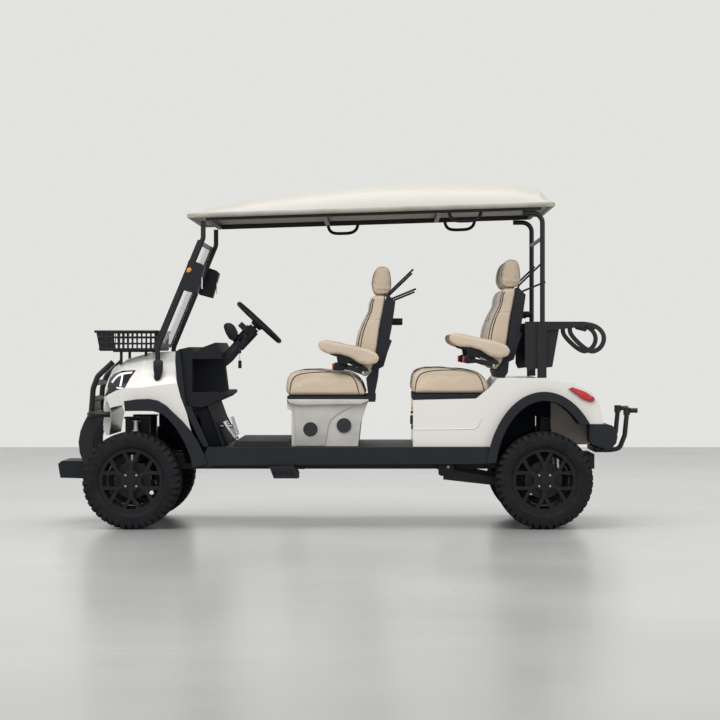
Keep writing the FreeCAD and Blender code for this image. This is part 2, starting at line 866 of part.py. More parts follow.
def floor_pan():
    deck = box("floor_deck", (rocker_front_x, rocker_rear_x),
               (-floor_half, floor_half), (floor_bottom, as_size(d.floor_top)))
    pockets = []
    middle_x = (rocker_front_x + rocker_rear_x) / 2
    spans = ((rocker_front_x + d.floor_rib, middle_x - d.floor_rib / 2),
             (middle_x + d.floor_rib / 2, rocker_rear_x - d.floor_rib))
    for index, span in enumerate(spans):
        pockets.append(box("floor_pocket_%d" % index, span,
                           (d.floor_rib - floor_half, floor_half - d.floor_rib),
                           (floor_bottom - d.cut_overrun, d.floor_top - d.floor_skin)))
    return cut("floor_body", deck, pockets)


piece("floor_pan", floor_pan())

mat_x = rocker_front_x + d.mat_inset
mat_low = d.floor_top + d.seat_gap
piece("floor_mat", prism(
    "floor_mat", "Y",
    [
        (mat_x, mat_low),
        (mat_x + d.mat_length, mat_low),
        (mat_x + d.mat_length - d.mat_edge, mat_low + d.mat_height),
        (mat_x + d.mat_edge, mat_low + d.mat_height),
    ],
    d.mat_edge - floor_half, floor_half - d.mat_edge))

rocker_inner = floor_half + d.seat_gap
rocker_outer = rocker_inner + d.rocker_width
rocker = prism(
    "rocker", "Y",
    [
        (rocker_front_x, rocker_bottom - d.rocker_height * 0.25),
        (rocker_front_x + d.rocker_nose, rocker_bottom - d.rocker_height * 0.1),
        (rocker_rear_x, as_size(rocker_bottom)),
        (rocker_rear_x, as_size(d.rocker_top)),
        (rocker_front_x + d.rocker_nose * 0.3, as_size(d.rocker_top)),
        (rocker_front_x, d.rocker_top - d.rocker_height * 0.4),
    ],
    rocker_inner, rocker_outer)
piece("rocker_panels", both_sides("rocker_pair", rocker))


# Front cowl: a lofted shell, cut at its rear seam, its arches, lamps and pillar feet

# Each section: its place along the cowl, then bottom, shoulder and crown heights, then half width.
COWL_SECTION_SHARES = (
    (-0.37, 0.59, 0.655, 0.69, 0.70),
    (-0.31, 0.585, 0.735, 0.85, 0.84),
    (-0.15, 0.335, 0.80, 0.91, 0.94),
    (0.10, 0.335, 0.825, 0.955, 0.985),
    (0.35, 0.335, 0.84, 0.965, 1.0),
    (0.75, 0.335, 0.86, 0.975, 1.0),
)
COWL_SEAM_SHARES = (
    (0.524, 1.1),
    (0.520, 0.89),
    (0.536, 0.75),
    (0.586, 0.625),
    (0.658, 0.505),
    (0.694, 0.415),
    (0.75, 0.30),
)


def section_wire(x, low, shoulder, crown, half, inset):
    """Make one closed cross-section: flat sides and a smooth crown from shoulder to shoulder."""
    half = half - inset
    shoulder = shoulder - inset
    crown = crown - inset
    rise = crown - shoulder
    side = shoulder - rise
    crown_points = [
        Vector(x, -half, side),
        Vector(x, -half * 0.86, shoulder),
        Vector(x, -half * 0.45, crown - rise * 0.2),
        Vector(x, 0, crown),
        Vector(x, half * 0.45, crown - rise * 0.2),
        Vector(x, half * 0.86, shoulder),
        Vector(x, half, side),
    ]
    curve = Part.BSplineCurve()
    curve.interpolate(crown_points)
    corners = [Vector(x, half, low), Vector(x, -half, low)]
    edges = [
        curve.toShape(),
        Part.LineSegment(crown_points[-1], corners[0]).toShape(),
        Part.LineSegment(corners[0], corners[1]).toShape(),
        Part.LineSegment(corners[1], crown_points[0]).toShape(),
    ]
    return Part.Wire(edges)


def cowl_loft(inset, drop):
    """Loft the cowl's form, drawn in by a wall and let down past its bottom by a drop."""
    wires = []
    length = d.cowl_length.value
    height = d.cowl_height.value
    for index, (along, low, shoulder, crown, half) in enumerate(COWL_SECTION_SHARES):
        x = front_x.value + along * length
        if index == 0:
            x += inset
        if index == len(COWL_SECTION_SHARES) - 1:
            x += drop
        base = d.axle_height.value
        wires.append(section_wire(x, base + low * height - drop, base + shoulder * height,
                                  base + crown * height, half * body_half.value, inset))
    return Part.makeLoft(wires, True, True)


def flat_prism(points, low, high, inset=0):
    """Extrude an XZ outline of Sizes, drawn in by an inset, from one Y to another."""
    corners = [Vector(number_of(x), number_of(low), number_of(z)) for x, z in points]
    face = Part.Face(Part.makePolygon(corners + corners[:1]))
    if inset:
        face = Part.Face(face.makeOffset2D(-number_of(inset), join=2).Wires[0])
    return face.extrude(AXIS_Y * (number_of(high) - number_of(low)))


def side_copies(shape):
    """Give a plain shape and its mirror image across the cart's middle."""
    return [shape, shape.mirror(Vector(), AXIS_Y)]


LAMP_SHARES = (
    (-0.40, 0.735),
    (-0.335, 0.745),
    (-0.26, 0.796),
    (-0.14, 0.82),
    (0.03, 0.825),
    (-0.03, 0.765),
    (-0.09, 0.69),
    (-0.19, 0.675),
    (-0.335, 0.63),
    (-0.40, 0.62),
)

cowl_outer = cowl_loft(0, 0)
cowl_inner = cowl_loft(d.cowl_wall.value, d.cut_overrun.value)
lamp_inner_y = body_half * 0.62
pillar_foot_x = front_x + d.cowl_length * 0.304
pillar_foot_z = d.axle_height + d.cowl_height * 0.82
pillar_sleeve_radius = d.pillar_radius * 1.5


def arch_cylinder(radius, x, inner_y):
    """Make a cutter for one wheel arch on the right, out past the body's side."""
    length = flare_half.value - inner_y.value + d.cut_overrun.value
    centre = Vector(x.value, inner_y.value, d.axle_height.value)
    return Part.makeCylinder(radius, length, centre, AXIS_Y)


def cowl_shell():
    shell = cowl_outer.cut(cowl_inner)
    seam = front_points(COWL_SEAM_SHARES)
    behind = seam + [(front_x + d.cowl_length, seam[-1][1]), (front_x + d.cowl_length, seam[0][1])]
    half = body_half + d.cut_overrun
    cutters = [flat_prism(behind, -half, half)]
    arch = arch_cylinder(d.front_arch_radius.value, front_x, d.front_liner_inset)
    lamp = flat_prism(front_points(LAMP_SHARES), lamp_inner_y - d.seat_gap, half)
    sleeve_radius = pillar_sleeve_radius.value + d.seat_gap.value
    sleeve_at = Vector(pillar_foot_x.value, pillar_y.value, d.axle_height.value)
    sleeve = Part.makeCylinder(sleeve_radius, d.cowl_height.value, sleeve_at)
    for tool in (arch, lamp, sleeve):
        cutters += side_copies(tool)
    for tool in cutters:
        shell = shell.cut(tool)
    return max(shell.Solids, key=lambda one: one.Volume)


piece("front_cowl", solid("cowl", cowl_shell()))


def headlamp():
    """Make one lens with its housing, flush with the cowl and a gap inside its cut-out."""
    band = cowl_outer.cut(cowl_loft(d.lamp_thickness.value, d.cut_overrun.value))
    half = body_half + d.cut_overrun
    shape = band.common(flat_prism(front_points(LAMP_SHARES), lamp_inner_y, half, d.seat_gap))
    return max(shape.Solids, key=lambda one: one.Volume)


piece("headlamps", both_sides("headlamp_pair", solid("headlamp", headlamp())))


# Black trim from the cowl's seam down to the rockers, with a bar across the top

TRIM_LEG_SHARES = (
    (0.524, 0.97),
    (0.520, 0.89),
    (0.536, 0.75),
    (0.586, 0.625),
    (0.658, 0.505),
    (0.72, 0.42),
    (0.80, 0.31),
    (0.86, 0.2504),
    (0.926, 0.2504),
    (0.71, 0.55),
    (0.648, 0.555),
    (0.576, 0.97),
)
trim_low_y = floor_half + d.seat_gap
trim_leg = prism("trim_leg", "Y", [(x + d.seat_gap, z) for x, z in front_points(TRIM_LEG_SHARES)],
                 trim_low_y, trim_low_y + d.trim_thickness)
TRIM_BAR_SHARES = ((0.524, 0.935), (0.572, 0.935), (0.572, 0.985), (0.524, 0.965))
trim_bar = prism("trim_bar", "Y", [(x + d.seat_gap, z) for x, z in front_points(TRIM_BAR_SHARES)],
                 -trim_low_y - d.trim_thickness, trim_low_y + d.trim_thickness)
piece("cowl_trim", fused_sides("cowl_trim_body", [trim_leg], [trim_bar]))


# Steering column, with the wheel's axis tilted back

column_angle = math.radians(d.steering_column_angle.value)
column_up = Vector(math.cos(column_angle), 0, math.sin(column_angle))
wheel_centre_x = front_x + d.cowl_length * 1.5
wheel_centre_z = d.axle_height + d.cowl_height * 1.1875
wheel_centre = Vector(wheel_centre_x.value, -d.column_offset.value, wheel_centre_z.value)
column_turn = Rotation(AXIS_Z, column_up)


def steering_wheel():
    """Make the rim, three spokes, hub and shaft round +Z at the origin."""
    radius = d.wheel_rim_radius.value
    rim_ring = Part.makeTorus(radius, d.wheel_grip_radius.value)
    thick = d.wheel_spoke_thickness.value
    parts = []
    for angle in (0, 180, 270):
        spoke = Part.makeBox(radius, d.wheel_spoke_width.value, thick,
                             Vector(0, -d.wheel_spoke_width.value / 2, -thick / 2))
        spoke.rotate(Vector(), AXIS_Z, angle + 90)
        parts.append(spoke)
    hub_low = -d.wheel_hub_height.value
    parts.append(Part.makeCone(d.wheel_hub_radius.value * 0.7, d.wheel_hub_radius.value,
                               d.wheel_hub_height.value, Vector(0, 0, hub_low)))
    parts.append(Part.makeCylinder(d.steer_shaft_radius.value, d.steer_shaft_length.value,
                                   Vector(0, 0, -d.steer_shaft_length.value)))
    return rim_ring.multiFuse(parts).removeSplitter()


wheel_item = solid("steering_wheel", steering_wheel())
piece("steering_wheel", place(wheel_item, wheel_centre_x, -d.column_offset, wheel_centre_z, column_turn))


def steering_column():
    """Make the column tube with its bore, shroud and display pod."""
    top = -(d.wheel_hub_height.value + d.column_gap.value)
    radius = d.column_radius.value
    length = d.column_length.value
    tube = Part.makeCylinder(radius, length, Vector(0, 0, top - length))
    shroud = Part.makeCylinder(radius * 1.35, length * 0.45, Vector(0, 0, top - length * 0.5))
    pod_at = Vector(-radius, -d.pod_radius.value * 0.2, top - length * 0.2)
    pod = Part.makeCylinder(d.pod_radius.value, d.pod_thickness.value, pod_at)
    bore_depth = d.steer_shaft_length.value - d.wheel_hub_height.value
    bore = Part.makeCylinder(d.steer_shaft_radius.value + d.running_clearance.value, bore_depth,
                             Vector(0, 0, top - bore_depth))
    return tube.multiFuse([shroud, pod]).cut(bore).removeSplitter()


column_item = solid("steering_column", steering_column())
piece("steering_column", place(column_item, wheel_centre_x, -d.column_offset, wheel_centre_z, column_turn))


# Dashboard with an open bin on each side of the column, and the kick panel below it

DASH_SHARES = (
    (0.576, 0.985),
    (0.684, 1.0),
    (0.756, 0.962),
    (0.852, 1.0),
    (0.998, 1.034),
    (1.07, 0.94),
    (1.13, 0.6375),
    (1.07, 0.6075),
    (0.84, 0.545),
    (0.65, 0.56),
)
BIN_SHARES = ((0.72, 0.66), (1.25, 0.66), (1.25, 0.91), (0.72, 0.91))


def dashboard():
    block = prism("dash_block", "Y", front_points(DASH_SHARES), -floor_half, floor_half)
    past = floor_half + d.cut_overrun
    keep = d.column_radius * 1.35 + d.dash_wall * 2
    bins = [
        prism("dash_bin_left", "Y", front_points(BIN_SHARES), -past, -d.column_offset - keep),
        prism("dash_bin_right", "Y", front_points(BIN_SHARES), keep - d.column_offset, past),
    ]
    reach = d.column_length + d.wheel_hub_height + d.column_gap + d.seat_gap
    bore_radius = d.column_radius * 1.35 + d.seat_gap
    bore = Part.makeCylinder(bore_radius.value, reach.value, wheel_centre, -column_up)
    return cut("dash_body", block, bins + [solid("dash_column_hole", bore)])


kick_top = d.axle_height + d.cowl_height * 0.57
kick_top_x = front_x + d.cowl_length * 0.898
kick_foot_x = front_x + d.cowl_length * 1.084
kick_panel = prism(
    "kick_panel", "Y",
    [
        (kick_foot_x, d.floor_top + d.seat_gap),
        (kick_foot_x + d.kick_thickness, d.floor_top + d.seat_gap),
        (kick_top_x + d.kick_thickness, kick_top),
        (kick_top_x, kick_top),
    ],
    -floor_half, floor_half)
piece("dashboard", fuse("dash_with_kick_panel", [dashboard(), kick_panel]))


# Pedals, hung in front of the kick panel

kick_slope = (kick_foot_x - kick_top_x) / (kick_top - d.floor_top - d.seat_gap)


def pedal(name, y):
    pad_low_z = d.floor_top + d.mat_height * 2
    pad_x = kick_foot_x + d.kick_thickness + d.pedal_gap
    lean = d.pedal_gap * 0.6
    height = d.pedal_width * 1.2
    pad = prism(
        name + "_pad", "Y",
        [
            (pad_x, pad_low_z),
            (pad_x + d.pedal_thickness, pad_low_z),
            (pad_x + d.pedal_thickness - lean, pad_low_z + height),
            (pad_x - lean, pad_low_z + height),
        ],
        y - d.pedal_width / 2, y + d.pedal_width / 2)
    arm_z = pad_low_z + height / 2
    panel_x = kick_foot_x + d.kick_thickness - (arm_z - d.pedal_thickness - d.floor_top) * kick_slope
    arm_foot = (panel_x + d.seat_gap, y, arm_z)
    arm = tube_between(name + "_arm", d.pedal_thickness, arm_foot, (pad_x - lean / 2, y, arm_z))
    return fuse(name, [pad, arm])


piece("pedals", together("pedal_pair", [
    pedal("brake_pedal", -d.column_offset - d.pedal_width * 0.7),
    pedal("drive_pedal", d.pedal_width * 0.7 - d.column_offset),
]))


# Flares and liners round the arches

# Each row: its place in the sweep, then the inner and the outer edge's radius.
FRONT_FLARE_SHARES = (
    (0.0, 0.774, 0.959),
    (0.096, 0.786, 0.955),
    (0.217, 0.798, 0.951),
    (0.337, 0.819, 0.955),
    (0.458, 0.854, 0.967),
    (0.554, 0.885, 0.984),
    (0.639, 0.907, 1.019),
    (0.723, 0.899, 1.039),
    (0.795, 0.877, 1.029),
    (0.892, 0.86, 1.004),
    (1.0, 0.86, 0.984),
)


def front_arc(column, grow):
    """Give one edge of the front flare as points round the axle, grown outwards by a length."""
    points = []
    for row in FRONT_FLARE_SHARES:
        angle = math.radians(d.front_flare_start.value + d.front_flare_sweep.value * row[0])
        radius = d.flare_outer_radius.value * row[column] + grow
        x = front_x.value + radius * math.cos(angle)
        points.append(Vector(x, 0, d.axle_height.value + radius * math.sin(angle)))
    return points


def front_band(near, far, low, high):
    """Extrude the band between two edges of the front flare from one Y to another."""
    corners = [point + AXIS_Y * low for point in near + far[::-1]]
    face = Part.Face(Part.makePolygon(corners + corners[:1]))
    return face.extrude(AXIS_Y * (high - low))


def front_flare():
    side = flare_half.value
    back = side - d.flare_depth.value
    wall = d.flare_wall.value
    seat = (body_half + d.seat_gap).value
    inner = front_arc(1, 0)
    outer = front_arc(2, 0)
    web = front_band(inner, outer, side - wall, side)
    lip = front_band(inner, front_arc(1, wall), back, side)
    rim = front_band(front_arc(2, -wall), outer, seat, side)
    rocker_room = Part.makeBox(d.cowl_length.value, (rocker_outer + d.seat_gap).value - seat,
                               (d.rocker_top + d.seat_gap).value,
                               Vector((front_x + d.rocker_front_setback - d.seat_gap).value, seat, 0))
    return web.multiFuse([lip, rim.cut(rocker_room)]).removeSplitter()


def ellipse_prism(half_length, half_height, low, high):
    """Extrude an ellipse round the rear axle from one Y to another."""
    centre = Vector(rear_x.value, low, d.axle_height.value)
    if half_length > half_height:
        curve = Part.Ellipse(centre + AXIS_X * half_length, centre + AXIS_Z * half_height, centre)
    else:
        curve = Part.Ellipse(centre + AXIS_Z * half_height, centre + AXIS_X * half_length, centre)
    return Part.Face(Part.Wire(curve.toShape())).extrude(AXIS_Y * (high - low))


def above_arch_ends(low, high):
    """Make the space over the rear arch's two ends, to trim flares and liners with."""
    front_end = (rocker_bottom + d.cowl_wall).value
    rear_end = d.axle_height.value + d.rear_body_height.value * 0.5435
    reach = d.rear_arch_half_length.value * 2
    top = d.axle_height.value + d.rear_arch_height.value * 2
    front = Part.makeBox(reach, high - low, top - front_end, Vector(rear_x.value - reach, low, front_end))
    rear = Part.makeBox(reach, high - low, top - rear_end, Vector(rear_x.value, low, rear_end))
    return front.fuse(rear)


def rear_flare():
    overlap = d.flare_overlap.value
    wall = d.flare_wall.value
    length = d.rear_arch_half_length.value
    height = d.rear_arch_height.value
    side = flare_half.value
    back = side - d.flare_depth.value
    band = ellipse_prism(length + overlap, height + overlap, side - wall, side)
    lip = ellipse_prism(length - overlap + wall, height - overlap + wall, back, side)
    seat = body_half.value + d.seat_gap.value
    rim = ellipse_prism(length + overlap, height + overlap, seat, side)
    rim = rim.cut(ellipse_prism(length + overlap - wall, height + overlap - wall, seat, side))
    reach = length * 2
    rocker_end = (rocker_rear_x + d.seat_gap).value
    rocker_room = Part.makeBox(reach, side - seat, (d.rocker_top + d.seat_gap).value,
                               Vector(rocker_end - reach, seat, 0))
    rim = rim.cut(rocker_room)
    hole = ellipse_prism(length - overlap, height - overlap, back, side)
    return band.multiFuse([lip, rim]).cut(hole).common(above_arch_ends(back, side)).removeSplitter()


flares = [solid("front_flare", front_flare()), solid("rear_flare", rear_flare())]
flares += [mirrored(item.Name + "_twin", item) for item in flares]
piece("wheel_flares", together("flare_set", flares))


def front_liner():
    side = flare_half.value - d.flare_depth.value
    return front_band(front_arc(1, 0), front_arc(1, d.liner_wall.value), d.front_liner_inset.value, side)


def rear_liner():
    shrink = d.flare_overlap.value + d.seat_gap.value
    wall = d.liner_wall.value
    low = (half_track - d.rear_liner_inset).value
    high = flare_half.value - d.flare_wall.value - d.seat_gap.value
    length = d.rear_arch_half_length.value - shrink
    height = d.rear_arch_height.value - shrink
    outer = ellipse_prism(length, height, low, high)
    inner = ellipse_prism(length - wall, height - wall, low, high)
    guard = ellipse_prism(length, height, low, low + wall)
    half_corner = Vector(rear_x.value + length * 0.3, low, liner_low_z.value)
    rear_half = Part.makeBox(length, wall, height, half_corner)
    guard = guard.common(rear_half)
    return outer.cut(inner).fuse(guard).common(above_arch_ends(low, high)).removeSplitter()


liner_low_z = d.axle_height + d.rear_arch_height * 0.34
liners = [solid("front_liner", front_liner()), solid("rear_liner", rear_liner())]
liners += [mirrored(item.Name + "_twin", item) for item in liners]
piece("wheel_liners", together("liner_set", liners))


# Front bumper shell

BUMPER_SHARES = (
    (-0.376, 0.5893),
    (-0.396, 0.53),
    (-0.386, 0.48),
    (-0.402, 0.42),
    (-0.398, 0.365),
    (-0.37, 0.33),
    (-0.325, 0.328),
    (-0.305, 0.417),
    (-0.285, 0.485),
    (-0.33, 0.56),
    (-0.362, 0.5886),
)
piece("front_bumper", prism("front_bumper", "Y", front_points(BUMPER_SHARES),
                            -d.bumper_half_width, as_size(d.bumper_half_width)))


# Brush guard: two bent uprights on wide curved arms, with cross bars, a plate and a side return

GUARD_SHARES = (
    (-0.30, 0.885),
    (-0.49, 0.775),
    (-0.545, 0.68),
    (-0.58, 0.40),
)
GUARD_ARM_SHARES = (
    (-0.545, 0.22),
    (-0.54, 0.30),
    (-0.515, 0.37),
    (-0.465, 0.42),
    (-0.41, 0.452),
    (-0.50, 0.50),
    (-0.60, 0.485),
    (-0.66, 0.415),
    (-0.70, 0.35),
    (-0.72, 0.27),
    (-0.705, 0.19),
    (-0.66, 0.11),
    (-0.61, 0.05),
)
GUARD_BAR_SHARES = (
    (-0.52, 0.725),
    (-0.556, 0.60),
)
GUARD_HOOP_SHARES = ((-0.569, 0.487), (-0.31, 0.487))


def brush_guard():
    half = d.guard_spacing / 2
    radius = d.guard_tube_radius
    route = [(x, half, z) for x, z in front_points(GUARD_SHARES)]
    foot_x = front_x - d.rail_front_reach - d.seat_gap
    outline = front_points(GUARD_ARM_SHARES)
    outline += [(foot_x, outline[-1][1]), (foot_x, outline[0][1] - d.cross_width)]
    shapes = side_copies(pipe("guard_upright", radius, d.guard_bend, route).Shape)
    shapes += side_copies(flat_prism(outline, half - radius * 1.3, half + radius * 1.3))
    bar_places = front_points(GUARD_BAR_SHARES)
    for index, (x, z) in enumerate(bar_places):
        shapes.append(tube_between("guard_bar_%d" % index, radius, (x, -half, z), (x, half, z)).Shape)
    (x, z), (end_x, end_z) = front_points(GUARD_HOOP_SHARES)
    side = d.guard_bar_length / 2
    hoop_route = [(end_x, side, end_z), (x, side, z), (x, -side, z), (end_x, -side, end_z)]
    shapes.append(pipe("guard_hoop", radius, d.guard_bend, hoop_route).Shape)
    thin = d.rack_plate
    top = bar_places[1][1]
    outline = [(x - thin * 0.3, z), (x + thin * 0.7, z), (x + thin * 0.7, top), (x - thin * 0.3, top)]
    shapes.append(flat_prism(outline, -half, half))
    return solid("guard_body", shapes[0].multiFuse(shapes[1:]))


piece("brush_guard", brush_guard())


# Steps: tilted tread plates with a lip, one at the nose and one below each rocker

def front_step():
    x = front_x - d.front_overhang + d.step_length
    z = d.rail_bottom + d.step_height * 0.5
    half = d.step_width / 2
    plate = prism(
        "front_step_plate", "Y",
        [
            (x - d.step_length, z - d.step_height * 0.2),
            (x - d.step_length * 0.9, z - d.step_height * 1.15),
            (x + d.step_length * 0.25, z - d.step_height * 1.2),
            (x + d.step_length * 0.3, z - d.step_height * 0.5),
            (x + d.step_length * 0.1, as_size(z)),
            (x - d.step_length * 0.85, as_size(z)),
        ],
        -half, half)
    beam_low = d.rail_bottom + d.seat_gap
    beam = box("front_step_beam", (x, front_x - d.rail_front_reach - d.seat_gap),
               (-half * 0.6, half * 0.6), (beam_low, beam_low + d.step_arm_radius * 2))
    return fuse("front_step", [plate, beam])


def side_step():
    x = front_x + d.wheelbase * 0.405
    z = rocker_bottom - d.seat_gap
    out = rocker_outer + d.side_step_reach
    low = out - d.side_step_width * 2
    plate = prism(
        "side_step_plate", "Y",
        [
            (x - d.step_length * 1.25, z - d.step_height * 0.15),
            (x - d.step_length * 1.05, z - d.step_height * 0.95),
            (x, z - d.step_height * 0.95),
            (x, z - d.step_height * 0.6),
            (x - d.step_length * 0.2, z - d.step_height * 0.1),
        ],
        low, out)
    hanger = box("side_step_hanger", (x - d.step_length * 0.9, x - d.step_length * 0.4),
                 (rail_outer + d.seat_gap, as_size(out) - d.side_step_width),
                 (z - d.step_height * 0.6, z - d.step_height * 0.3))
    return fuse("side_step", [plate, hanger])


side_step_item = side_step()
piece("steps", together("step_set", [front_step(), side_step_item,
                                     mirrored("side_step_twin", side_step_item)]))


# Basket over the hood, with its mounting rails

def basket():
    front = front_x.value - d.basket_front_reach.value
    rear = front + d.basket_length.value
    half = d.basket_width.value / 2
    low = d.basket_bottom.value
    top = low + d.basket_height.value
    corner = d.basket_corner.value
    wall = d.basket_wall.value

    def plan(inset, z, taper):
        edge = inset + taper
        bow = corner * 0.6
        points = [
            Vector(front + edge + bow, -half + edge, z),
            Vector(front + edge, -half * 0.5, z),
            Vector(front + edge, half * 0.5, z),
            Vector(front + edge + bow, half - edge, z),
            Vector(rear - edge - corner, half - edge, z),
            Vector(rear - edge, half - edge - corner, z),
            Vector(rear - edge, -half + edge + corner, z),
            Vector(rear - edge - corner, -half + edge, z),
        ]
        return Part.makePolygon(points + points[:1])

    taper = wall * 3
    outer = Part.makeLoft([plan(0, low, taper), plan(0, top, 0)], True, True)
    inner = Part.makeLoft([plan(wall, low + wall, taper), plan(wall, top + wall, 0)], True, True)
    return outer.cut(inner)


piece("basket", solid("basket_tray", basket()))


def basket_mount():
    rails = []
    top = d.basket_bottom - d.seat_gap
    x = front_x - d.basket_front_reach + d.basket_length * 0.3
    for name, y in (("left", -d.guard_spacing / 2), ("right", d.guard_spacing / 2)):
        rails.append(box("basket_rail_" + name, (x, x + d.basket_length * 0.55),
                         (y - d.guard_tube_radius, y + d.guard_tube_radius),
                         (top - d.bracket_thickness, top)))
        rails.append(cylinder("basket_post_" + name, d.mirror_stalk_radius, d.basket_height * 2,
                              (x + d.basket_length * 0.12, y, top - d.basket_height * 2)))
        rails.append(cylinder("basket_back_post_" + name, d.mirror_stalk_radius, d.basket_height * 2,
                              (x + d.basket_length * 0.5, y, top - d.basket_height * 2)))
    rails.append(box("basket_cross", (x, x + d.basket_length * 0.1),
                     (-d.guard_spacing / 2, d.guard_spacing / 2), (top - d.bracket_thickness, top)))
    keep = Part.makeBox(d.cowl_length.value * 2, body_half.value * 2, d.cowl_height.value,
                        Vector(front_x.value - d.cowl_length.value, -body_half.value,
                               d.axle_height.value))
    space = keep.cut(cowl_outer)
    doc.recompute()
    whole = fuse("basket_mount_body", rails)
    doc.recompute()
    top_part = whole.Shape.common(space)
    return solid("basket_mount", max(top_part.Solids, key=lambda one: one.BoundBox.ZMax * one.Volume))


piece("basket_mount", basket_mount())


# Roof line: the rim climbs from the front to the rear

roof_front_x = front_x + d.roof_front_reach
roof_rear_x = rear_x + d.roof_rear_reach
roof_length = roof_rear_x - roof_front_x


def rim_z(x):
    """Give the roof rim's underside height at a place along the cart."""
    return d.roof_rim_height + d.roof_climb * ((x - roof_front_x) / roof_length)


# Each section: its place along the roof and its crown's height over the rim line.
ROOF_SECTION_SHARES = (
    (0.0, 0.15),
    (0.006, 0.2),
    (0.03, 0.265),
    (0.055, 0.375),
    (0.16, 0.57),
    (0.3, 0.74),
    (0.5, 0.86),
    (0.7, 0.87),
    (0.9, 0.77),
    (0.965, 0.6),
    (1.0, 0.18),
)


def roof_loft(inset, drop):
    wires = []
    rise = d.roof_rise.value
    lip = d.roof_lip.value
    last = len(ROOF_SECTION_SHARES) - 1
    for index, (along, crown) in enumerate(ROOF_SECTION_SHARES):
        x = roof_front_x.value + roof_length.value * along
        base = d.roof_rim_height.value + d.roof_climb.value * along
        if index == 0:
            x += inset
        if index == last:
            x -= inset
        narrow = 1 - 0.06 * abs(2 * along - 1) ** 6
        half = roof_half.value * narrow - inset
        top = base + max(crown * rise - inset, lip * 0.7)
        edge = base + lip - inset
        step = top - edge
        points = [
            Vector(x, -half, edge),
            Vector(x, -half * 0.93, edge + step * 0.22),
            Vector(x, -half * 0.72, edge + step * 0.62),
            Vector(x, 0, top),
            Vector(x, half * 0.72, edge + step * 0.62),
            Vector(x, half * 0.93, edge + step * 0.22),
            Vector(x, half, edge),
        ]
        curve = Part.BSplineCurve()
        curve.interpolate(points)
        low = [Vector(x, half, base - drop), Vector(x, -half, base - drop)]
        edges = [
            curve.toShape(),
            Part.LineSegment(points[-1], low[0]).toShape(),
            Part.LineSegment(low[0], low[1]).toShape(),
            Part.LineSegment(low[1], points[0]).toShape(),
        ]
        wires.append(Part.Wire(edges))
    return Part.makeLoft(wires, True, True)


roof_form = roof_loft(0, 0)
piece("roof_shell", solid("roof", roof_form.cut(roof_loft(d.roof_skin.value, d.cut_overrun.value))))


def tilted_bar(name, x_low, x_high, under, over, y_low, y_high):
    """Make a bar that follows the roof line, between two heights over the rim."""
    return prism(
        name, "Y",
        [
            (x_low, rim_z(x_low) + under),
            (x_high, rim_z(x_high) + under),
            (x_high, rim_z(x_high) + over),
            (x_low, rim_z(x_low) + over),
        ],
        y_low, y_high)


liner_low = d.roof_lip - d.roof_skin - d.roof_liner
liner_inset = d.roof_skin + d.seat_gap
liner_half = roof_half * 0.9
liner_reach = liner_inset + d.roof_skin
liner_top = d.roof_lip - d.roof_skin + d.roof_liner * 0.34
piece("roof_liner", tilted_bar("roof_liner", roof_front_x + liner_reach, roof_rear_x - liner_reach,
                               liner_low, liner_top, -liner_half, liner_half))

rail_over = liner_low - d.seat_gap
rail_under = rail_over - d.rail_tube_height
rail_x_low = roof_front_x + d.roof_front_reach * 0.33
rail_x_high = rear_x - d.strut_setback


def roof_frame():
    half = d.rail_tube_width / 2
    rail = tilted_bar("roof_rail", rail_x_low, rail_x_high, rail_under, rail_over,
                      pillar_y - half, pillar_y + half)
    bars = []
    for index, along in enumerate((0.0, 0.35, 0.7, 1.0)):
        x = rail_x_low + (rail_x_high - rail_x_low) * along - d.rail_tube_width * along
        bars.append(tilted_bar("roof_bow_%d" % index, x, x + d.rail_tube_width, rail_under, rail_over,
                               half - pillar_y, pillar_y - half))
    return fused_sides("roof_frame_body", [rail], bars)


piece("roof_frame", roof_frame())


def grab_handle(name, x, y):
    """Make a hanging handle below the roof rail."""
    low = rim_z(x) + rail_under - d.seat_gap * 2
    end_x = x + d.handle_length
    end_low = rim_z(end_x) + rail_under - d.seat_gap * 2
    return pipe(name, d.handle_radius, d.handle_bend, [
        (x, y, low),
        (x, y, low - d.handle_drop + d.handle_radius),
        (end_x, y, end_low - d.handle_drop + d.handle_radius),
        (end_x, y, end_low),
    ])


front_handle_x = front_x + d.wheelbase * 0.465
rear_handle_x = rear_x - d.wheelbase * 0.23
piece("roof_handles", together("roof_handle_set", [
    grab_handle("front_handle", front_handle_x, as_size(pillar_y)),
    grab_handle("rear_handle_left", rear_handle_x, -pillar_y),
    grab_handle("rear_handle_right", rear_handle_x, as_size(pillar_y)),
]))


# Front pillars, windscreen and mirrors

pillar_top_x = front_x + d.roof_front_reach + d.roof_front_reach * 0.28
pillar_kink_z = d.roof_rim_height - d.roof_lip * 5
pillar_low_z = d.axle_height + d.cowl_height * 0.995
pillar_tip_z = rim_z(pillar_top_x) + rail_under - d.seat_gap
pillar_foot_low = pillar_foot_z - d.pillar_foot_half_height


def pillar():
    route = [
        (pillar_foot_x, pillar_y, pillar_foot_low),
        (pillar_foot_x, pillar_y, pillar_low_z),
        (pillar_top_x, pillar_y, pillar_kink_z),
        (pillar_top_x, pillar_y, pillar_tip_z),
    ]
    tube = pipe("pillar_tube", d.pillar_radius, d.pillar_bend, route)
    sleeve = cylinder("pillar_sleeve", pillar_sleeve_radius, d.pillar_foot_half_height * 2,
                      (pillar_foot_x, pillar_y, pillar_foot_low))
    return fuse("pillar", [tube, sleeve])


piece("front_pillars", both_sides("pillar_pair", pillar()))


def pillar_x(z):
    """Give the slanted pillar's centre at a height."""
    share = (z - pillar_low_z) / (pillar_kink_z - pillar_low_z)
    return pillar_foot_x + (pillar_top_x - pillar_foot_x) * share


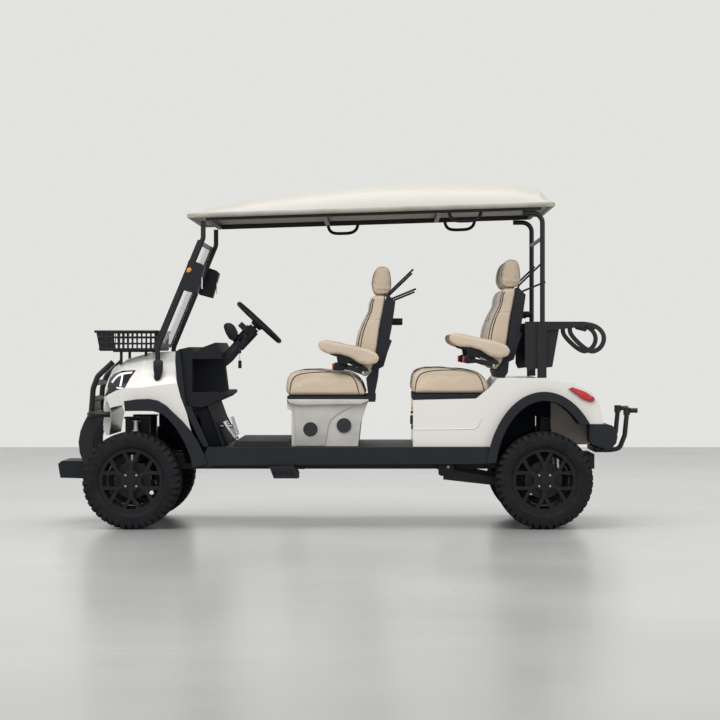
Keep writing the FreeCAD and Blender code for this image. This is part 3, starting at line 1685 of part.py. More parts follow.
screen_low_z = pillar_low_z + d.screen_frame
screen_high_z = pillar_kink_z - d.screen_frame * 1.5


def screen_outline(z_low, z_high, front_gap, rear_gap):
    return [
        (pillar_x(z_low) - front_gap, z_low),
        (pillar_x(z_high) - front_gap, z_high),
        (pillar_x(z_high) - rear_gap, z_high),
        (pillar_x(z_low) - rear_gap, z_low),
    ]


glass_rear = d.screen_gap - d.screen_thickness
piece("windscreen", prism("windscreen", "Y",
                          screen_outline(screen_low_z + d.seat_gap, screen_high_z - d.seat_gap,
                                         d.screen_gap, glass_rear),
                          d.seat_gap - screen_half, screen_half - d.seat_gap))


def screen_frame():
    rear_gap = d.pillar_radius * 1.15
    outline = screen_outline(screen_low_z - d.screen_frame, screen_high_z + d.screen_frame,
                             d.screen_gap, rear_gap)
    side = prism("screen_side", "Y", outline, screen_half, screen_half + d.screen_frame)
    bars = []
    for name, low in (("low", screen_low_z - d.screen_frame), ("high", screen_high_z)):
        bars.append(prism("screen_bar_" + name, "Y",
                          screen_outline(low, low + d.screen_frame, d.screen_gap, rear_gap),
                          -screen_half, screen_half))
    return fused_sides("screen_frame_body", [side], bars)


piece("windscreen_frame", screen_frame())

MIRROR_SHARES = (
    (0.0, 0.27),
    (0.32, 0.975),
    (0.40, 1.0),
    (0.85, 0.89),
    (1.0, 0.79),
    (0.68, 0.0),
    (0.08, 0.107),
)
mirror_x = front_x + d.roof_front_reach * 0.9168
mirror_z = d.axle_height + d.cowl_height * 1.396


def mirror():
    clamp_y = pillar_y + d.pillar_radius + d.seat_gap
    low_y = clamp_y + d.mirror_stalk_length
    housing = prism("mirror_housing", "Y",
                    at_shares(mirror_x, mirror_z, d.mirror_depth, d.mirror_height, MIRROR_SHARES),
                    low_y, low_y + d.mirror_width)
    stalk_z = mirror_z + d.mirror_height * 0.7
    stalk = cylinder("mirror_stalk", d.mirror_stalk_radius, low_y + d.mirror_stalk_radius - clamp_y,
                     (pillar_x(stalk_z), clamp_y, stalk_z), ALONG_Y)
    return fuse("mirror", [housing, stalk])


piece("mirrors", both_sides("mirror_pair", mirror()))


# Rear body: a deck under the rear seat, a step behind it, and side panels that rise beside the seat

SIDE_PANEL_SHARES = (
    (-0.984, 0.3237),
    (-0.984, 0.776),
    (-0.509, 0.79),
    (-0.40, 0.905),
    (-0.345, 0.99),
    (-0.0275, 0.99),
    (0.2125, 0.942),
    (0.3475, 0.863),
    (0.401, 0.776),
    (0.424, 0.679),
    (0.446, 0.5435),
    (0.30, 0.5435),
    (0.30, 0.3237),
)
DECK_SHARES = (
    (-0.984, 0.3237),
    (-0.984, 0.776),
    (-0.345, 0.776),
    (-0.345, 0.99),
    (-0.0275, 0.99),
    (0.2125, 0.942),
    (0.3475, 0.863),
    (0.401, 0.776),
    (0.424, 0.679),
    (0.446, 0.5435),
    (0.30, 0.5435),
    (0.30, 0.3237),
)
deck_z = d.axle_height + d.rear_body_height * 0.776
upper_deck_z = d.axle_height + d.rear_body_height * 0.99
seat_bay_half = seat_half + d.arm_gap


def open_shell(points, low, high, wall):
    """Make a box-like shell of an XZ outline, with its floor left open."""
    outer = flat_prism(points, low, high)
    corners = [Vector(number_of(x), number_of(low) + wall, number_of(z)) for x, z in points]
    wire = Part.makePolygon(corners + corners[:1])
    inner_wire = Part.Face(wire).makeOffset2D(-wall, join=2)
    depth = number_of(high) - number_of(low) - 2 * wall
    inner = Part.Face(inner_wire.Wires[0]).extrude(AXIS_Y * depth)
    box_now = outer.BoundBox
    mouth = Part.makeBox(box_now.XLength - 2 * wall, depth, wall * 2,
                         Vector(box_now.XMin + wall, number_of(low) + wall, box_now.ZMin - wall))
    return outer.cut(inner.fuse(mouth))


def rear_body():
    wall = d.rear_body_wall.value
    side = open_shell(rear_points(SIDE_PANEL_SHARES), seat_bay_half, body_half, wall)
    deck = open_shell(rear_points(DECK_SHARES), -seat_bay_half, seat_bay_half, wall)
    whole = deck.multiFuse(side_copies(side))
    low = (half_track - d.rear_liner_inset).value - wall
    high = body_half.value + wall
    length = d.rear_arch_half_length.value
    height = d.rear_arch_height.value
    arch = ellipse_prism(length, height, low, high)
    whole = whole.cut(side_copies(arch)[0]).cut(side_copies(arch)[1])
    return max(whole.removeSplitter().Solids, key=lambda one: one.Volume)


TAIL_LAMP_SHARES = (
    (0.1825, 0.885),
    (0.2125, 0.90),
    (0.31, 0.855),
    (0.375, 0.80),
    (0.375, 0.766),
    (0.34, 0.756),
    (0.28, 0.79),
)


piece("rear_body", solid("rear_body_shell", rear_body()))
tail_lamp_item = solid("tail_lamp", flat_prism(
    rear_points(TAIL_LAMP_SHARES), body_half + d.seat_gap,
    body_half + d.seat_gap + d.tail_lamp_depth))
piece("tail_lamps", both_sides("tail_lamp_pair", tail_lamp_item))

REAR_BUMPER_SHARES = (
    (0.339, 0.5425),
    (0.475, 0.5425),
    (0.51, 0.53),
    (0.54, 0.49),
    (0.55, 0.42),
    (0.54, 0.36),
    (0.51, 0.315),
    (0.47, 0.29978),
    (0.36, 0.345),
    (0.339, 0.38),
)
piece("rear_bumper", prism("rear_bumper", "Y", rear_points(REAR_BUMPER_SHARES),
                           -d.rear_bumper_half_width, as_size(d.rear_bumper_half_width)))


# Seats: one row of two, used for both rows

CUSHION_SHARES = (
    (0.03, 0.0),
    (0.0, 0.30),
    (0.018, 0.71),
    (0.06, 0.86),
    (0.139, 0.94),
    (0.334, 0.975),
    (0.672, 0.90),
    (0.855, 0.79),
    (0.952, 0.49),
    (1.0, 0.0),
)
BACK_FRONT_SHARES = (
    (0.871, 0.231),
    (0.858, 0.40),
    (0.866, 0.517),
    (0.891, 0.613),
    (0.951, 0.729),
    (1.018, 0.824),
    (1.034, 0.921),
    (1.06, 0.97),
    (1.095, 0.9885),
)
BACK_REAR_SHARES = (
    (1.238, 0.9885),
    (1.202, 0.8435),
    (1.166, 0.69),
    (1.1425, 0.536),
    (1.115, 0.40),
    (1.07, 0.267),
    (0.988, 0.174),
)
SHELL_REAR_SHARES = (
    (1.262, 0.984),
    (1.346, 0.917),
    (1.334, 0.8435),
    (1.298, 0.6516),
    (1.274, 0.5556),
    (1.303, 0.536),
    (1.25, 0.421),
    (1.2024, 0.2865),
    (1.1425, 0.262),
    (1.13, 0.16),
)
HEADREST_SHARES = (
    (0.05, 0.3),
    (0.115, 0.62),
    (0.22, 0.9),
    (0.35, 1.0),
    (0.79, 1.0),
    (0.9, 0.93),
    (0.95, 0.6),
    (1.0, 0.22),
    (0.93, 0.08),
    (0.784, 0.0),
    (0.3, 0.0),
    (0.1, 0.1),
)
ARMREST_SHARES = (
    (0.0, 0.735),
    (0.02, 0.88),
    (0.107, 0.925),
    (0.35, 0.816),
    (0.608, 0.695),
    (0.802, 0.598),
    (0.947, 0.453),
    (1.0, 0.27),
    (0.963, 0.09),
    (0.834, 0.0),
    (0.673, 0.053),
    (0.511, 0.265),
    (0.35, 0.374),
    (0.14, 0.43),
    (0.028, 0.58),
)

half_split = d.seat_split / 2
seat_middle_y = (half_split + seat_half) / 2
front_seat_x = front_x + d.front_seat_setback
tray_clear = d.seat_gap + d.tray_height + d.seat_gap
rear_cushion_z = deck_z + tray_clear
SEAT_ROWS = {
    "front": (front_seat_x, as_size(d.cushion_bottom), as_size(0), as_size(0),
              d.cushion_bottom + d.seat_gap),
    "rear": (rear_x - d.rear_seat_lead, rear_cushion_z, as_size(d.rear_back_shift),
             as_size(d.rear_back_rise), upper_deck_z + d.seat_gap),
}


def seat_parts(row):
    """Make one row's solids on the right-hand seat, by sub-part."""
    x, z, shift, rise, shell_low = SEAT_ROWS[row]
    back_x = x + shift
    back_z = z + rise
    length = d.cushion_length
    height = d.back_height
    half = seat_half
    parts = {}
    cushion = at_shares(x, z, length, d.cushion_height, CUSHION_SHARES)
    parts["cushion"] = prism("cushion_" + row, "Y", cushion, half_split, half)
    front = at_shares(back_x, back_z, length, height, BACK_FRONT_SHARES)
    rear = at_shares(back_x, back_z, length, height, BACK_REAR_SHARES)
    parts["back"] = prism("back_" + row, "Y", front + rear, half_split, half)
    shell = [(px + d.shell_gap, pz) for px, pz in rear[::-1]]
    shell += at_shares(back_x, back_z, length, height, SHELL_REAR_SHARES)
    shell += [
        (back_x + length * 1.09, as_size(shell_low)),
        (back_x + length * 1.015, as_size(shell_low)),
    ]
    rod_y = seat_middle_y + d.headrest_width * 0.62
    root_x = back_x + length * 1.275
    root_z = back_z + height * 0.93
    steep = pipe("rod_steep_" + row, d.rod_radius, d.rod_bend, [
        (root_x, rod_y, root_z), (root_x - d.rod_radius, rod_y, root_z + height * 0.075),
        (back_x + length * 1.565, rod_y, back_z + height * 1.238)])
    flat = tube_between("rod_flat_" + row, d.rod_radius, (root_x, rod_y, root_z + d.rod_radius),
                        (back_x + length * 1.598, rod_y, back_z + height * 1.046))
    knob = cylinder("knob_" + row, d.knob_radius, length * 0.155,
                    (back_x + length * 1.28, seat_middle_y, back_z + height * 0.73), ALONG_X)
    plain = prism("shell_plain_" + row, "Y", shell, half_split, half)
    parts["shell"] = fuse("shell_" + row, [plain, steep, flat, knob])
    head_x = back_x + length * 1.046
    head_z = back_z + height * 0.989
    head = at_shares(head_x, head_z, d.headrest_length, d.headrest_height, HEADREST_SHARES)
    parts["headrest"] = prism("headrest_" + row, "Y", head, seat_middle_y - d.headrest_width / 2,
                              seat_middle_y + d.headrest_width / 2)
    return parts


def arm_pivot(row):
    """Give the armrest's pivot in XZ."""
    x, z, shift, rise, _ = SEAT_ROWS[row]
    pivot_x = x + shift + d.cushion_length * 1.05
    pivot_z = z + rise + d.back_height * 0.374
    return pivot_x, pivot_z


def armrest(row):
    """Make the right-hand armrest pad with its pivot pin."""
    pivot_x, pivot_z = arm_pivot(row)
    x = pivot_x - d.arm_length * 0.87
    z = pivot_z - d.arm_height * 0.27
    low = seat_half + d.ear_thickness + d.arm_gap
    pad = prism("armrest_pad_" + row, "Y", at_shares(x, z, d.arm_length, d.arm_height, ARMREST_SHARES),
                low, low + d.arm_width)
    pin_low = seat_half + d.seat_gap
    pin = cylinder("armrest_pin_" + row, d.arm_pin_radius, low - pin_low,
                   (pivot_x, pin_low, pivot_z), ALONG_Y)
    return fuse("armrest_" + row, [pad, pin])


def armrest_ear(row):
    """Make the fixed plate that carries the armrest's pin, on the shell's side."""
    pivot_x, pivot_z = arm_pivot(row)
    low = seat_half
    disc = cylinder("ear_disc_" + row, d.ear_radius, d.ear_thickness, (pivot_x, low, pivot_z), ALONG_Y)
    strap = box("ear_strap_" + row, (pivot_x, pivot_x + d.ear_radius * 3),
                (low, low + d.ear_thickness), (pivot_z - d.ear_radius, pivot_z + d.ear_radius))
    bore = cylinder("ear_bore_" + row, d.arm_pin_radius + d.running_clearance,
                    d.ear_thickness + d.cut_overrun, (pivot_x, low - d.cut_overrun / 2, pivot_z), ALONG_Y)
    return cut("ear_" + row, fuse("ear_body_" + row, [disc, strap]), [bore])


seat_sets = {"cushion": [], "back": [], "shell": [], "headrest": []}
for row in SEAT_ROWS:
    row_parts = seat_parts(row)
    row_parts["shell"] = fuse("shell_with_ear_" + row, [row_parts["shell"], armrest_ear(row)])
    for kind, item in row_parts.items():
        seat_sets[kind] += [item, mirrored(item.Name + "_twin", item)]
    arm = armrest(row)
    piece("armrest_%s_right" % row, arm)
    piece("armrest_%s_left" % row, mirrored(arm.Name + "_twin", arm))
piece("seat_cushions", together("cushion_set", seat_sets["cushion"]))
piece("seat_backs", together("back_set", seat_sets["back"]))
piece("seat_shells", together("shell_set", seat_sets["shell"]))
piece("headrests", together("headrest_set", seat_sets["headrest"]))


# Seat trays, the front seat's base, speakers, buckles and the battery

def seat_tray(row):
    x, z, _, _, _ = SEAT_ROWS[row]
    end = x + d.cushion_length
    if row == "front":
        end = end + d.cushion_length * 0.1
    top = z - d.seat_gap
    return box("tray_" + row, (x + d.cushion_length * 0.03, end),
               (-seat_half, seat_half), (top - d.tray_height, top))


piece("seat_trays", together("tray_set", [seat_tray("front"), seat_tray("rear")]))

BASE_SHARES = (
    (0.0825, 0.0),
    (0.0825, 0.80),
    (0.028, 0.85),
    (0.028, 1.0),
    (1.0, 1.0),
    (1.0, 0.94),
    (0.955, 0.70),
    (0.92, 0.50),
    (0.89, 0.0),
)
base_low = d.floor_top + d.seat_gap
base_top = d.cushion_bottom - d.tray_height - d.seat_gap - d.seat_gap
base_height = base_top - base_low
base_points = at_shares(front_seat_x, base_low, d.cushion_length, base_height, BASE_SHARES)
piece("front_seat_base", solid("front_seat_pod", open_shell(
    base_points, -d.base_half_width, as_size(d.base_half_width), d.base_wall.value)))

speakers = []
for index, (along, up) in enumerate(((0.312, 0.38), (0.72, 0.47))):
    at = (front_seat_x + d.cushion_length * along, d.base_half_width + d.seat_gap,
          base_low + base_height * up)
    speakers.append(cylinder("speaker_%d" % index, d.speaker_radius, d.speaker_depth, at, ALONG_Y))
piece("speakers", together("speaker_set", speakers + [mirrored(item.Name + "_twin", item)
                                                      for item in speakers]))

battery_x = front_seat_x + d.cushion_length * 0.14
piece("battery", box("battery_block", (battery_x, battery_x + d.cushion_length * 0.6),
                     (d.base_wall * 4 - d.base_half_width, d.base_half_width - d.base_wall * 4),
                     (base_low, base_low + d.battery_height)))


# Bag rack on the rear deck, its straps, the rear roof struts and the bag rests

post_x = rear_x - d.rack_post_length * 0.7
post_low = upper_deck_z + d.seat_gap


def bag_rack():
    post = box("rack_post", (post_x, post_x + d.rack_post_length),
               (pillar_y - d.rack_post_width / 2, pillar_y + d.rack_post_width / 2),
               (post_low, as_size(d.rack_top)))
    arm = prism(
        "rack_arm", "Y",
        [
            (post_x, d.rack_top - d.rack_beam_height),
            (post_x + d.rack_post_length + d.rack_beam_reach, d.rack_top - d.rack_beam_height * 0.5),
            (post_x + d.rack_post_length + d.rack_beam_reach, as_size(d.rack_top)),
            (post_x, as_size(d.rack_top)),
        ],
        pillar_y - d.rack_post_width / 2, pillar_y + d.rack_post_width / 2)
    beam = box("rack_beam", (post_x, post_x + d.rack_post_length),
               (-pillar_y, as_size(pillar_y)),
               (d.rack_top - d.rack_beam_height, as_size(d.rack_top)))
    wing_x = post_x + d.rack_post_length
    reach = d.rack_beam_height
    wing = prism(
        "rack_wing", "Y",
        [
            (post_x - reach * 1.25, as_size(d.rack_top)),
            (post_x - reach * 1.25, d.rack_top - reach * 4.3),
            (post_x - reach, d.rack_top - reach * 4.85),
            (wing_x + reach * 0.6, d.rack_top - reach * 4.55),
            (wing_x + reach * 1.3, d.rack_top - reach * 0.6),
            (wing_x, as_size(d.rack_top)),
        ],
        pillar_y - d.rack_post_width / 2, pillar_y - d.rack_post_width / 2 + d.rack_plate)
    end_x = wing_x + d.rack_beam_reach
    crossbar = box("rack_crossbar", (end_x - reach * 0.66, end_x), (-pillar_y, as_size(pillar_y)),
                   (d.rack_top - reach * 0.5, as_size(d.rack_top)))
    panel = box("rack_panel", (post_x - d.rack_plate, post_x),
                (-pillar_y, as_size(pillar_y)),
                (d.rack_top - d.rack_beam_height * 4, as_size(d.rack_top)))
    return fused_sides("rack_body", [post, arm, wing], [beam, panel, crossbar])


piece("bag_rack", bag_rack())


STRAP_SHARES = (
    (0.0, 0.0),
    (0.7, 0.02),
    (1.5, -0.13),
    (2.1, -0.7),
    (2.32, -1.4),
    (2.1, -2.35),
    (1.5, -2.95),
    (0.9, -3.05),
    (-0.1, -2.5),
    (-0.6, -1.6),
    (-1.0, -0.56),
    (0.0, -0.56),
)


def bag_strap(name, y):
    """Make one strap's loop behind the rack as a closed band."""
    x = post_x + d.rack_post_length + d.rack_beam_reach + d.seat_gap
    top = d.rack_top - d.strap_thickness
    outline = at_shares(x, top, d.rack_beam_height, d.rack_beam_height, STRAP_SHARES)
    band = d.strap_thickness.value * 2
    corners = [Vector(px.value, (y - d.strap_width / 2).value, pz.value) for px, pz in outline]
    wire = Part.makePolygon(corners + corners[:1])
    outer = Part.Face(wire)
    inner = Part.Face(outer.makeOffset2D(-band, join=2).Wires[0])
    return solid(name, outer.cut(inner).extrude(AXIS_Y * d.strap_width.value))


strap_y = d.rest_spacing / 2
piece("bag_straps", both_sides("strap_pair", bag_strap("strap", strap_y)))


def rear_strut():
    top_z = rim_z(rear_x) + rail_under - d.seat_gap
    strut_x = post_x + d.rack_post_length - d.strut_radius * 1.6
    foot_z = d.rack_top + d.seat_gap
    front_x_top = strut_x - d.strut_bend * 2
    route = [
        (strut_x, pillar_y, foot_z),
        (strut_x, pillar_y, top_z - d.strut_radius * 1.3),
        (front_x_top, pillar_y, rim_z(front_x_top) + rail_under - d.seat_gap * 2 - d.strut_radius),
    ]
    tube = pipe("strut_tube", d.strut_radius, d.strut_bend, route)
    bar_z = foot_z + (top_z - foot_z) * 0.75
    bar = cylinder("strut_bar", d.strut_radius * 0.8, pillar_y * 2,
                   (strut_x, -pillar_y, bar_z), ALONG_Y)
    return fused_sides("strut_body", [tube], [bar])


piece("rear_struts", rear_strut())

REST_SHARES = (
    (0.46, 0.2751),
    (0.53, 0.2751),
    (0.60, 0.29),
    (0.64, 0.42),
    (0.655, 0.62),
)


def bag_rest():
    y = d.rest_spacing / 2
    route = [(x, y, z) for x, z in rear_points(REST_SHARES)]
    tube = pipe("rest_tube", d.rest_tube_radius, d.rest_bend, route)
    end_x, end_z = rear_points(REST_SHARES)[-1]
    clamp = cylinder("rest_clamp", d.clamp_radius, d.clamp_length, (end_x, y, end_z))
    stub_x = rear_x + d.rear_overhang - d.stub_pin_length
    stub_z = end_z + d.clamp_length * 0.6
    neck = cylinder("rest_neck", d.stub_pin_radius * 0.6, stub_x - end_x, (end_x, y, stub_z), ALONG_X)
    stub = cylinder("rest_stub", d.stub_pin_radius, d.stub_pin_length, (stub_x, y, stub_z), ALONG_X)
    start_x, start_z = rear_points(REST_SHARES)[0]
    beam = box("rest_beam", (rear_x + d.rail_rear_reach + d.seat_gap, start_x + d.cross_width),
               (-y, as_size(y)), (start_z - d.rest_tube_radius, start_z + d.rest_tube_radius))
    return fused_sides("rest_body", [tube, clamp, neck, stub], [beam])


piece("bag_rest", bag_rest())


# Rear axle with its gearbox and motor

def rear_axle():
    half = as_size(d.axle_half_length)
    tube = cylinder("axle_tube", d.axle_tube_radius, half * 2, (rear_x, -half, d.axle_height), ALONG_Y)
    stub = cylinder("axle_stub", d.stub_radius, stub_end_y * 2,
                    (rear_x, -stub_end_y, d.axle_height), ALONG_Y)
    drum_y = hub_inner_y - d.moving_clearance - d.drum_length
    drums = []
    for name, y in (("right", drum_y), ("left", -drum_y - d.drum_length)):
        drums.append(cylinder("axle_drum_" + name, d.drum_radius, d.drum_length,
                              (rear_x, y, d.axle_height), ALONG_Y))
    gearbox = cylinder("gearbox", d.gearbox_radius, d.gearbox_width,
                       (rear_x, -d.gearbox_width / 2, d.axle_height), ALONG_Y)
    motor = cylinder("motor", d.motor_radius, d.motor_length,
                     (rear_x - d.motor_radius, d.gearbox_width / 2, d.axle_height - d.motor_drop), ALONG_Y)
    shock_x = rear_x + d.axle_tube_radius * 2
    brackets = []
    for side, way in SIDES.items():
        y = shock_foot_y * way
        brackets.append(box("axle_shock_bracket_" + side,
                            (rear_x, shock_x - d.shock_body_radius - d.seat_gap),
                            (y - d.shock_eye_radius, y + d.shock_eye_radius),
                            (d.shock_foot_height - d.seat_gap, d.shock_foot_height + d.shock_eye_radius)))
    return fuse("rear_axle_body", [tube, stub, gearbox, motor] + drums + brackets)


piece("rear_axle", rear_axle())


# Checks and export

def check_document():
    """Stop if any object failed, or if a sub-part has no sound solid."""
    doc.recompute()
    for item in doc.Objects:
        if "Invalid" in item.State or "Error" in item.State:
            raise RuntimeError("%s failed: %s" % (item.Label, item.State))
    for node, item in pieces.items():
        shape = item.Shape
        if shape.isNull() or not shape.isValid() or not shape.Solids:
            raise RuntimeError("%s has no sound solid" % node)


check_document()
os.makedirs("parts", exist_ok=True)
for node, item in pieces.items():
    item.Shape.exportStep("parts/%s.step" % node)
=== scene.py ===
"""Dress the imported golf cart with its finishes, soft seats, tyres, lamps and trim, in a plain studio."""

from __future__ import annotations

import json
import logging
import math
from dataclasses import dataclass
from enum import Enum
from typing import Any, Iterable, Sequence

import bmesh
import bpy
from mathutils import Matrix, Vector
from mathutils.bvhtree import BVHTree

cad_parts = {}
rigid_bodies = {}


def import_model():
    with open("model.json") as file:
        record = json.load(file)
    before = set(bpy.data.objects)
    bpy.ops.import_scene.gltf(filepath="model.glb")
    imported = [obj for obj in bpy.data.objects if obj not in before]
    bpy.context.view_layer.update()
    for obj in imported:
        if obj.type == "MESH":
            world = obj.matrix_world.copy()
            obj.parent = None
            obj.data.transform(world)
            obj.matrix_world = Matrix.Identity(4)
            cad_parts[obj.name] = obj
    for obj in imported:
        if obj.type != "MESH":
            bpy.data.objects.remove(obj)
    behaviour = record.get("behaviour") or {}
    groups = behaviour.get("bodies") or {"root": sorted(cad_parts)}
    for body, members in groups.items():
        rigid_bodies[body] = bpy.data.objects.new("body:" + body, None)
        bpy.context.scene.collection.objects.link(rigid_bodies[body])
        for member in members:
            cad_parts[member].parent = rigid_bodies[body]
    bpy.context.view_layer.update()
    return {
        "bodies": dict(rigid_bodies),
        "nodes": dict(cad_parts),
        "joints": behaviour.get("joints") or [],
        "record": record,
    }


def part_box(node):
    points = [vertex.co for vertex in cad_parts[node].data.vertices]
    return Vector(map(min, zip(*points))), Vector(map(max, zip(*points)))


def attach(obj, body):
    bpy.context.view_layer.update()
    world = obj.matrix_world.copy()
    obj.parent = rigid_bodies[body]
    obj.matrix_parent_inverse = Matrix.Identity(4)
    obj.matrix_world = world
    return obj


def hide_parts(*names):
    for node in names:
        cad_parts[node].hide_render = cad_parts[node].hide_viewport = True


LOG = logging.getLogger("golf_cart")
Point = Sequence[float]
Colour = tuple[float, float, float]
Outline = tuple[tuple[float, float], ...]
BMesh = bmesh.types.BMesh
Socket = bpy.types.NodeSocket

# Rays from outside start at OUTSIDE along Y; one that ends beyond MISSED has met nothing.
OUTSIDE = 1.2
MISSED = 1.1
HEXAGON = 6


class Side(Enum):
    """The cart's two sides, as signs along Y."""

    LEFT = -1
    RIGHT = 1

    @property
    def label(self) -> str:
        """Give the side's name as it stands in the pieces' names."""
        return self.name.lower()

    def out(self, distance: float) -> Vector:
        """Give a step away from the cart's middle."""
        return Vector((0, self.value * distance, 0))

    def span(self, ends: tuple[float, float]) -> tuple[float, float]:
        """Give two distances from the cart's middle as places along Y."""
        return self.value * ends[0], self.value * ends[1]


CORNERS = tuple((f"{row}_{side.label}", side) for row in ("front", "rear") for side in Side)


# Finishes


class Shader:
    """A Principled material with the few texture nodes that the finishes share."""

    def __init__(self, name: str, **sockets: Any) -> None:
        """Start a material.

        Args:
            name: the material's name.
            sockets: values for the shader's own sockets, with underscores for spaces.
        """
        self.material = bpy.data.materials.new(name)
        self.material.use_nodes = True
        self.tree = self.material.node_tree
        self.shader = self.tree.nodes["Principled BSDF"]
        self.coordinates = self.tree.nodes.new("ShaderNodeTexCoord")
        for socket, value in sockets.items():
            self.shader.inputs[socket.replace("_", " ")].default_value = value

    def add(self, kind: str, links: dict[str | int, Socket], **values: Any) -> bpy.types.Node:
        """Add a node.

        Args:
            kind: the node's type, without ShaderNode.
            links: what feeds each of its inputs.
            values: values for its other inputs, with underscores for spaces.

        Returns:
            The node.
        """
        node = self.tree.nodes.new(f"ShaderNode{kind}")
        for socket, value in values.items():
            node.inputs[socket.replace("_", " ")].default_value = value
        for socket, source in links.items():
            self.tree.links.new(source, node.inputs[socket])
        return node

    def mapped(self, scale: Point = (1, 1, 1)) -> Socket:
        """Give Object coordinates times a scale along each axis."""
        return self.add("Mapping", {"Vector": self.coordinates.outputs["Object"]}, Scale=scale).outputs["Vector"]

    def noise(self, scale: float, detail: float = 3.0, stretch: Point = (1, 1, 1)) -> Socket:
        """Give a noise pattern's value."""
        return self.add("TexNoise", {"Vector": self.mapped(stretch)}, Scale=scale, Detail=detail).outputs["Fac"]

    def cells(self, scale: float) -> Socket:
        """Give the distance pattern of a grain of small cells."""
        return self.add("TexVoronoi", {"Vector": self.mapped()}, Scale=scale).outputs["Distance"]

    def bands(self, scale: float, axis: str) -> Socket:
        """Give a pattern of even bands across one axis."""
        node = self.add("TexWave", {"Vector": self.mapped()}, Scale=scale)
        node.bands_direction = axis
        return node.outputs["Fac"]

    def product(self, first: Socket, second: Socket) -> Socket:
        """Give two patterns multiplied."""
        node = self.add("Math", {0: first, 1: second})
        node.operation = "MULTIPLY"
        return node.outputs["Value"]

    def height(self, slope: float) -> Socket:
        """Give the height over a plane through the origin that climbs along X."""
        split = self.add("SeparateXYZ", {"Vector": self.coordinates.outputs["Object"]})
        node = self.add("Math", {0: split.outputs["X"], 2: split.outputs["Z"]})
        node.operation = "MULTIPLY_ADD"
        node.inputs[1].default_value = -slope
        return node.outputs["Value"]

    def colour(self, pattern: Socket, low: Colour, high: Colour,
               start: float = 0.3, end: float = 0.7) -> None:
        """Run the base colour from one tone to another over a pattern."""
        ramp = self.add("ValToRGB", {"Fac": pattern})
        for element, place, shade in zip(ramp.color_ramp.elements, (start, end), (low, high)):
            element.position = place
            element.color = (*shade, 1)
        self.tree.links.new(ramp.outputs["Color"], self.shader.inputs["Base Color"])

    def roughness(self, pattern: Socket, low: float, high: float) -> None:
        """Run the roughness between two values over a pattern."""
        node = self.add("MapRange", {"Value": pattern}, To_Min=low, To_Max=high)
        self.tree.links.new(node.outputs["Result"], self.shader.inputs["Roughness"])

    def rounded(self, radius: float) -> None:
        """Shade every edge as if it were rounded."""
        node = self.add("Bevel", {}, Radius=radius)
        node.samples = 4
        self.tree.links.new(node.outputs["Normal"], self.shader.inputs["Normal"])

    def bump(self, pattern: Socket, strength: float, distance: float) -> None:
        """Add a bump from a pattern on top of those added before."""
        normal = self.shader.inputs["Normal"]
        below = {"Normal": normal.links[0].from_socket} if normal.links else {}
        node = self.add("Bump", {"Height": pattern, **below}, Strength=strength, Distance=distance)
        self.tree.links.new(node.outputs["Normal"], normal)


def tone(colour: Colour, share: float) -> Colour:
    """Give a colour made lighter or darker by a share."""
    return tuple(min(1.0, channel * share) for channel in colour)


@dataclass(frozen=True)
class Paint:
    """Glossy body paint with a faint orange peel."""

    name: str
    base: Colour
    gloss: float = 0.28

    def make(self) -> bpy.types.Material:
        """Build the material."""
        shader = Shader(self.name, Coat_Weight=0.5, Coat_Roughness=0.12, Coat_IOR=1.45)
        shader.rounded(0.006)
        cloud = shader.noise(1.4, 2.0)
        shader.colour(cloud, tone(self.base, 0.975), tone(self.base, 1.015))
        shader.roughness(shader.noise(9.0), self.gloss, self.gloss + 0.08)
        shader.bump(shader.noise(260.0, 1.0), 0.05, 0.0006)
        return shader.material


@dataclass(frozen=True)
class RoofPaint:
    """The roof's white skin over a greige rim that follows the roof's slope."""

    name: str
    base: Colour
    rim: Colour
    rim_top: float
    slope: float

    def make(self) -> bpy.types.Material:
        """Build the material."""
        shader = Shader(self.name, Coat_Weight=0.15, Coat_Roughness=0.2, Specular_IOR_Level=0.4)
        shader.rounded(0.008)
        shader.colour(shader.height(self.slope), self.rim, self.base, self.rim_top - 0.001, self.rim_top + 0.001)
        shader.roughness(shader.noise(9.0), 0.42, 0.52)
        shader.bump(shader.noise(240.0, 1.0), 0.05, 0.0006)
        return shader.material


@dataclass(frozen=True)
class Moulding:
    """Grained moulded plastic, scuffed a little lighter in patches."""

    name: str
    base: Colour
    rough: float = 0.55
    grain: float = 900.0
    depth: float = 0.25
    shine: float = 0.28

    def make(self) -> bpy.types.Material:
        """Build the material."""
        shader = Shader(self.name, Specular_IOR_Level=self.shine)
        shader.rounded(0.004)
        shader.colour(shader.noise(7.0, 5.0), tone(self.base, 0.88), tone(self.base, 1.14))
        shader.roughness(shader.noise(18.0, 4.0), self.rough - 0.07, self.rough + 0.1)
        shader.bump(shader.cells(self.grain), self.depth, 0.0004)
        shader.bump(shader.noise(30.0, 2.0), 0.05, 0.002)
        return shader.material


@dataclass(frozen=True)
class PowderCoat:
    """Satin powder coat on steel tube and plate."""

    name: str
    base: Colour
    rough: float = 0.42
    shine: float = 0.38

    def make(self) -> bpy.types.Material:
        """Build the material."""
        shader = Shader(self.name, Specular_IOR_Level=self.shine)
        shader.rounded(0.0025)
        shader.colour(shader.noise(11.0, 4.0), tone(self.base, 0.85), tone(self.base, 1.2))
        shader.roughness(shader.noise(40.0), self.rough - 0.06, self.rough + 0.1)
        shader.bump(shader.noise(700.0, 1.0), 0.12, 0.0004)
        return shader.material


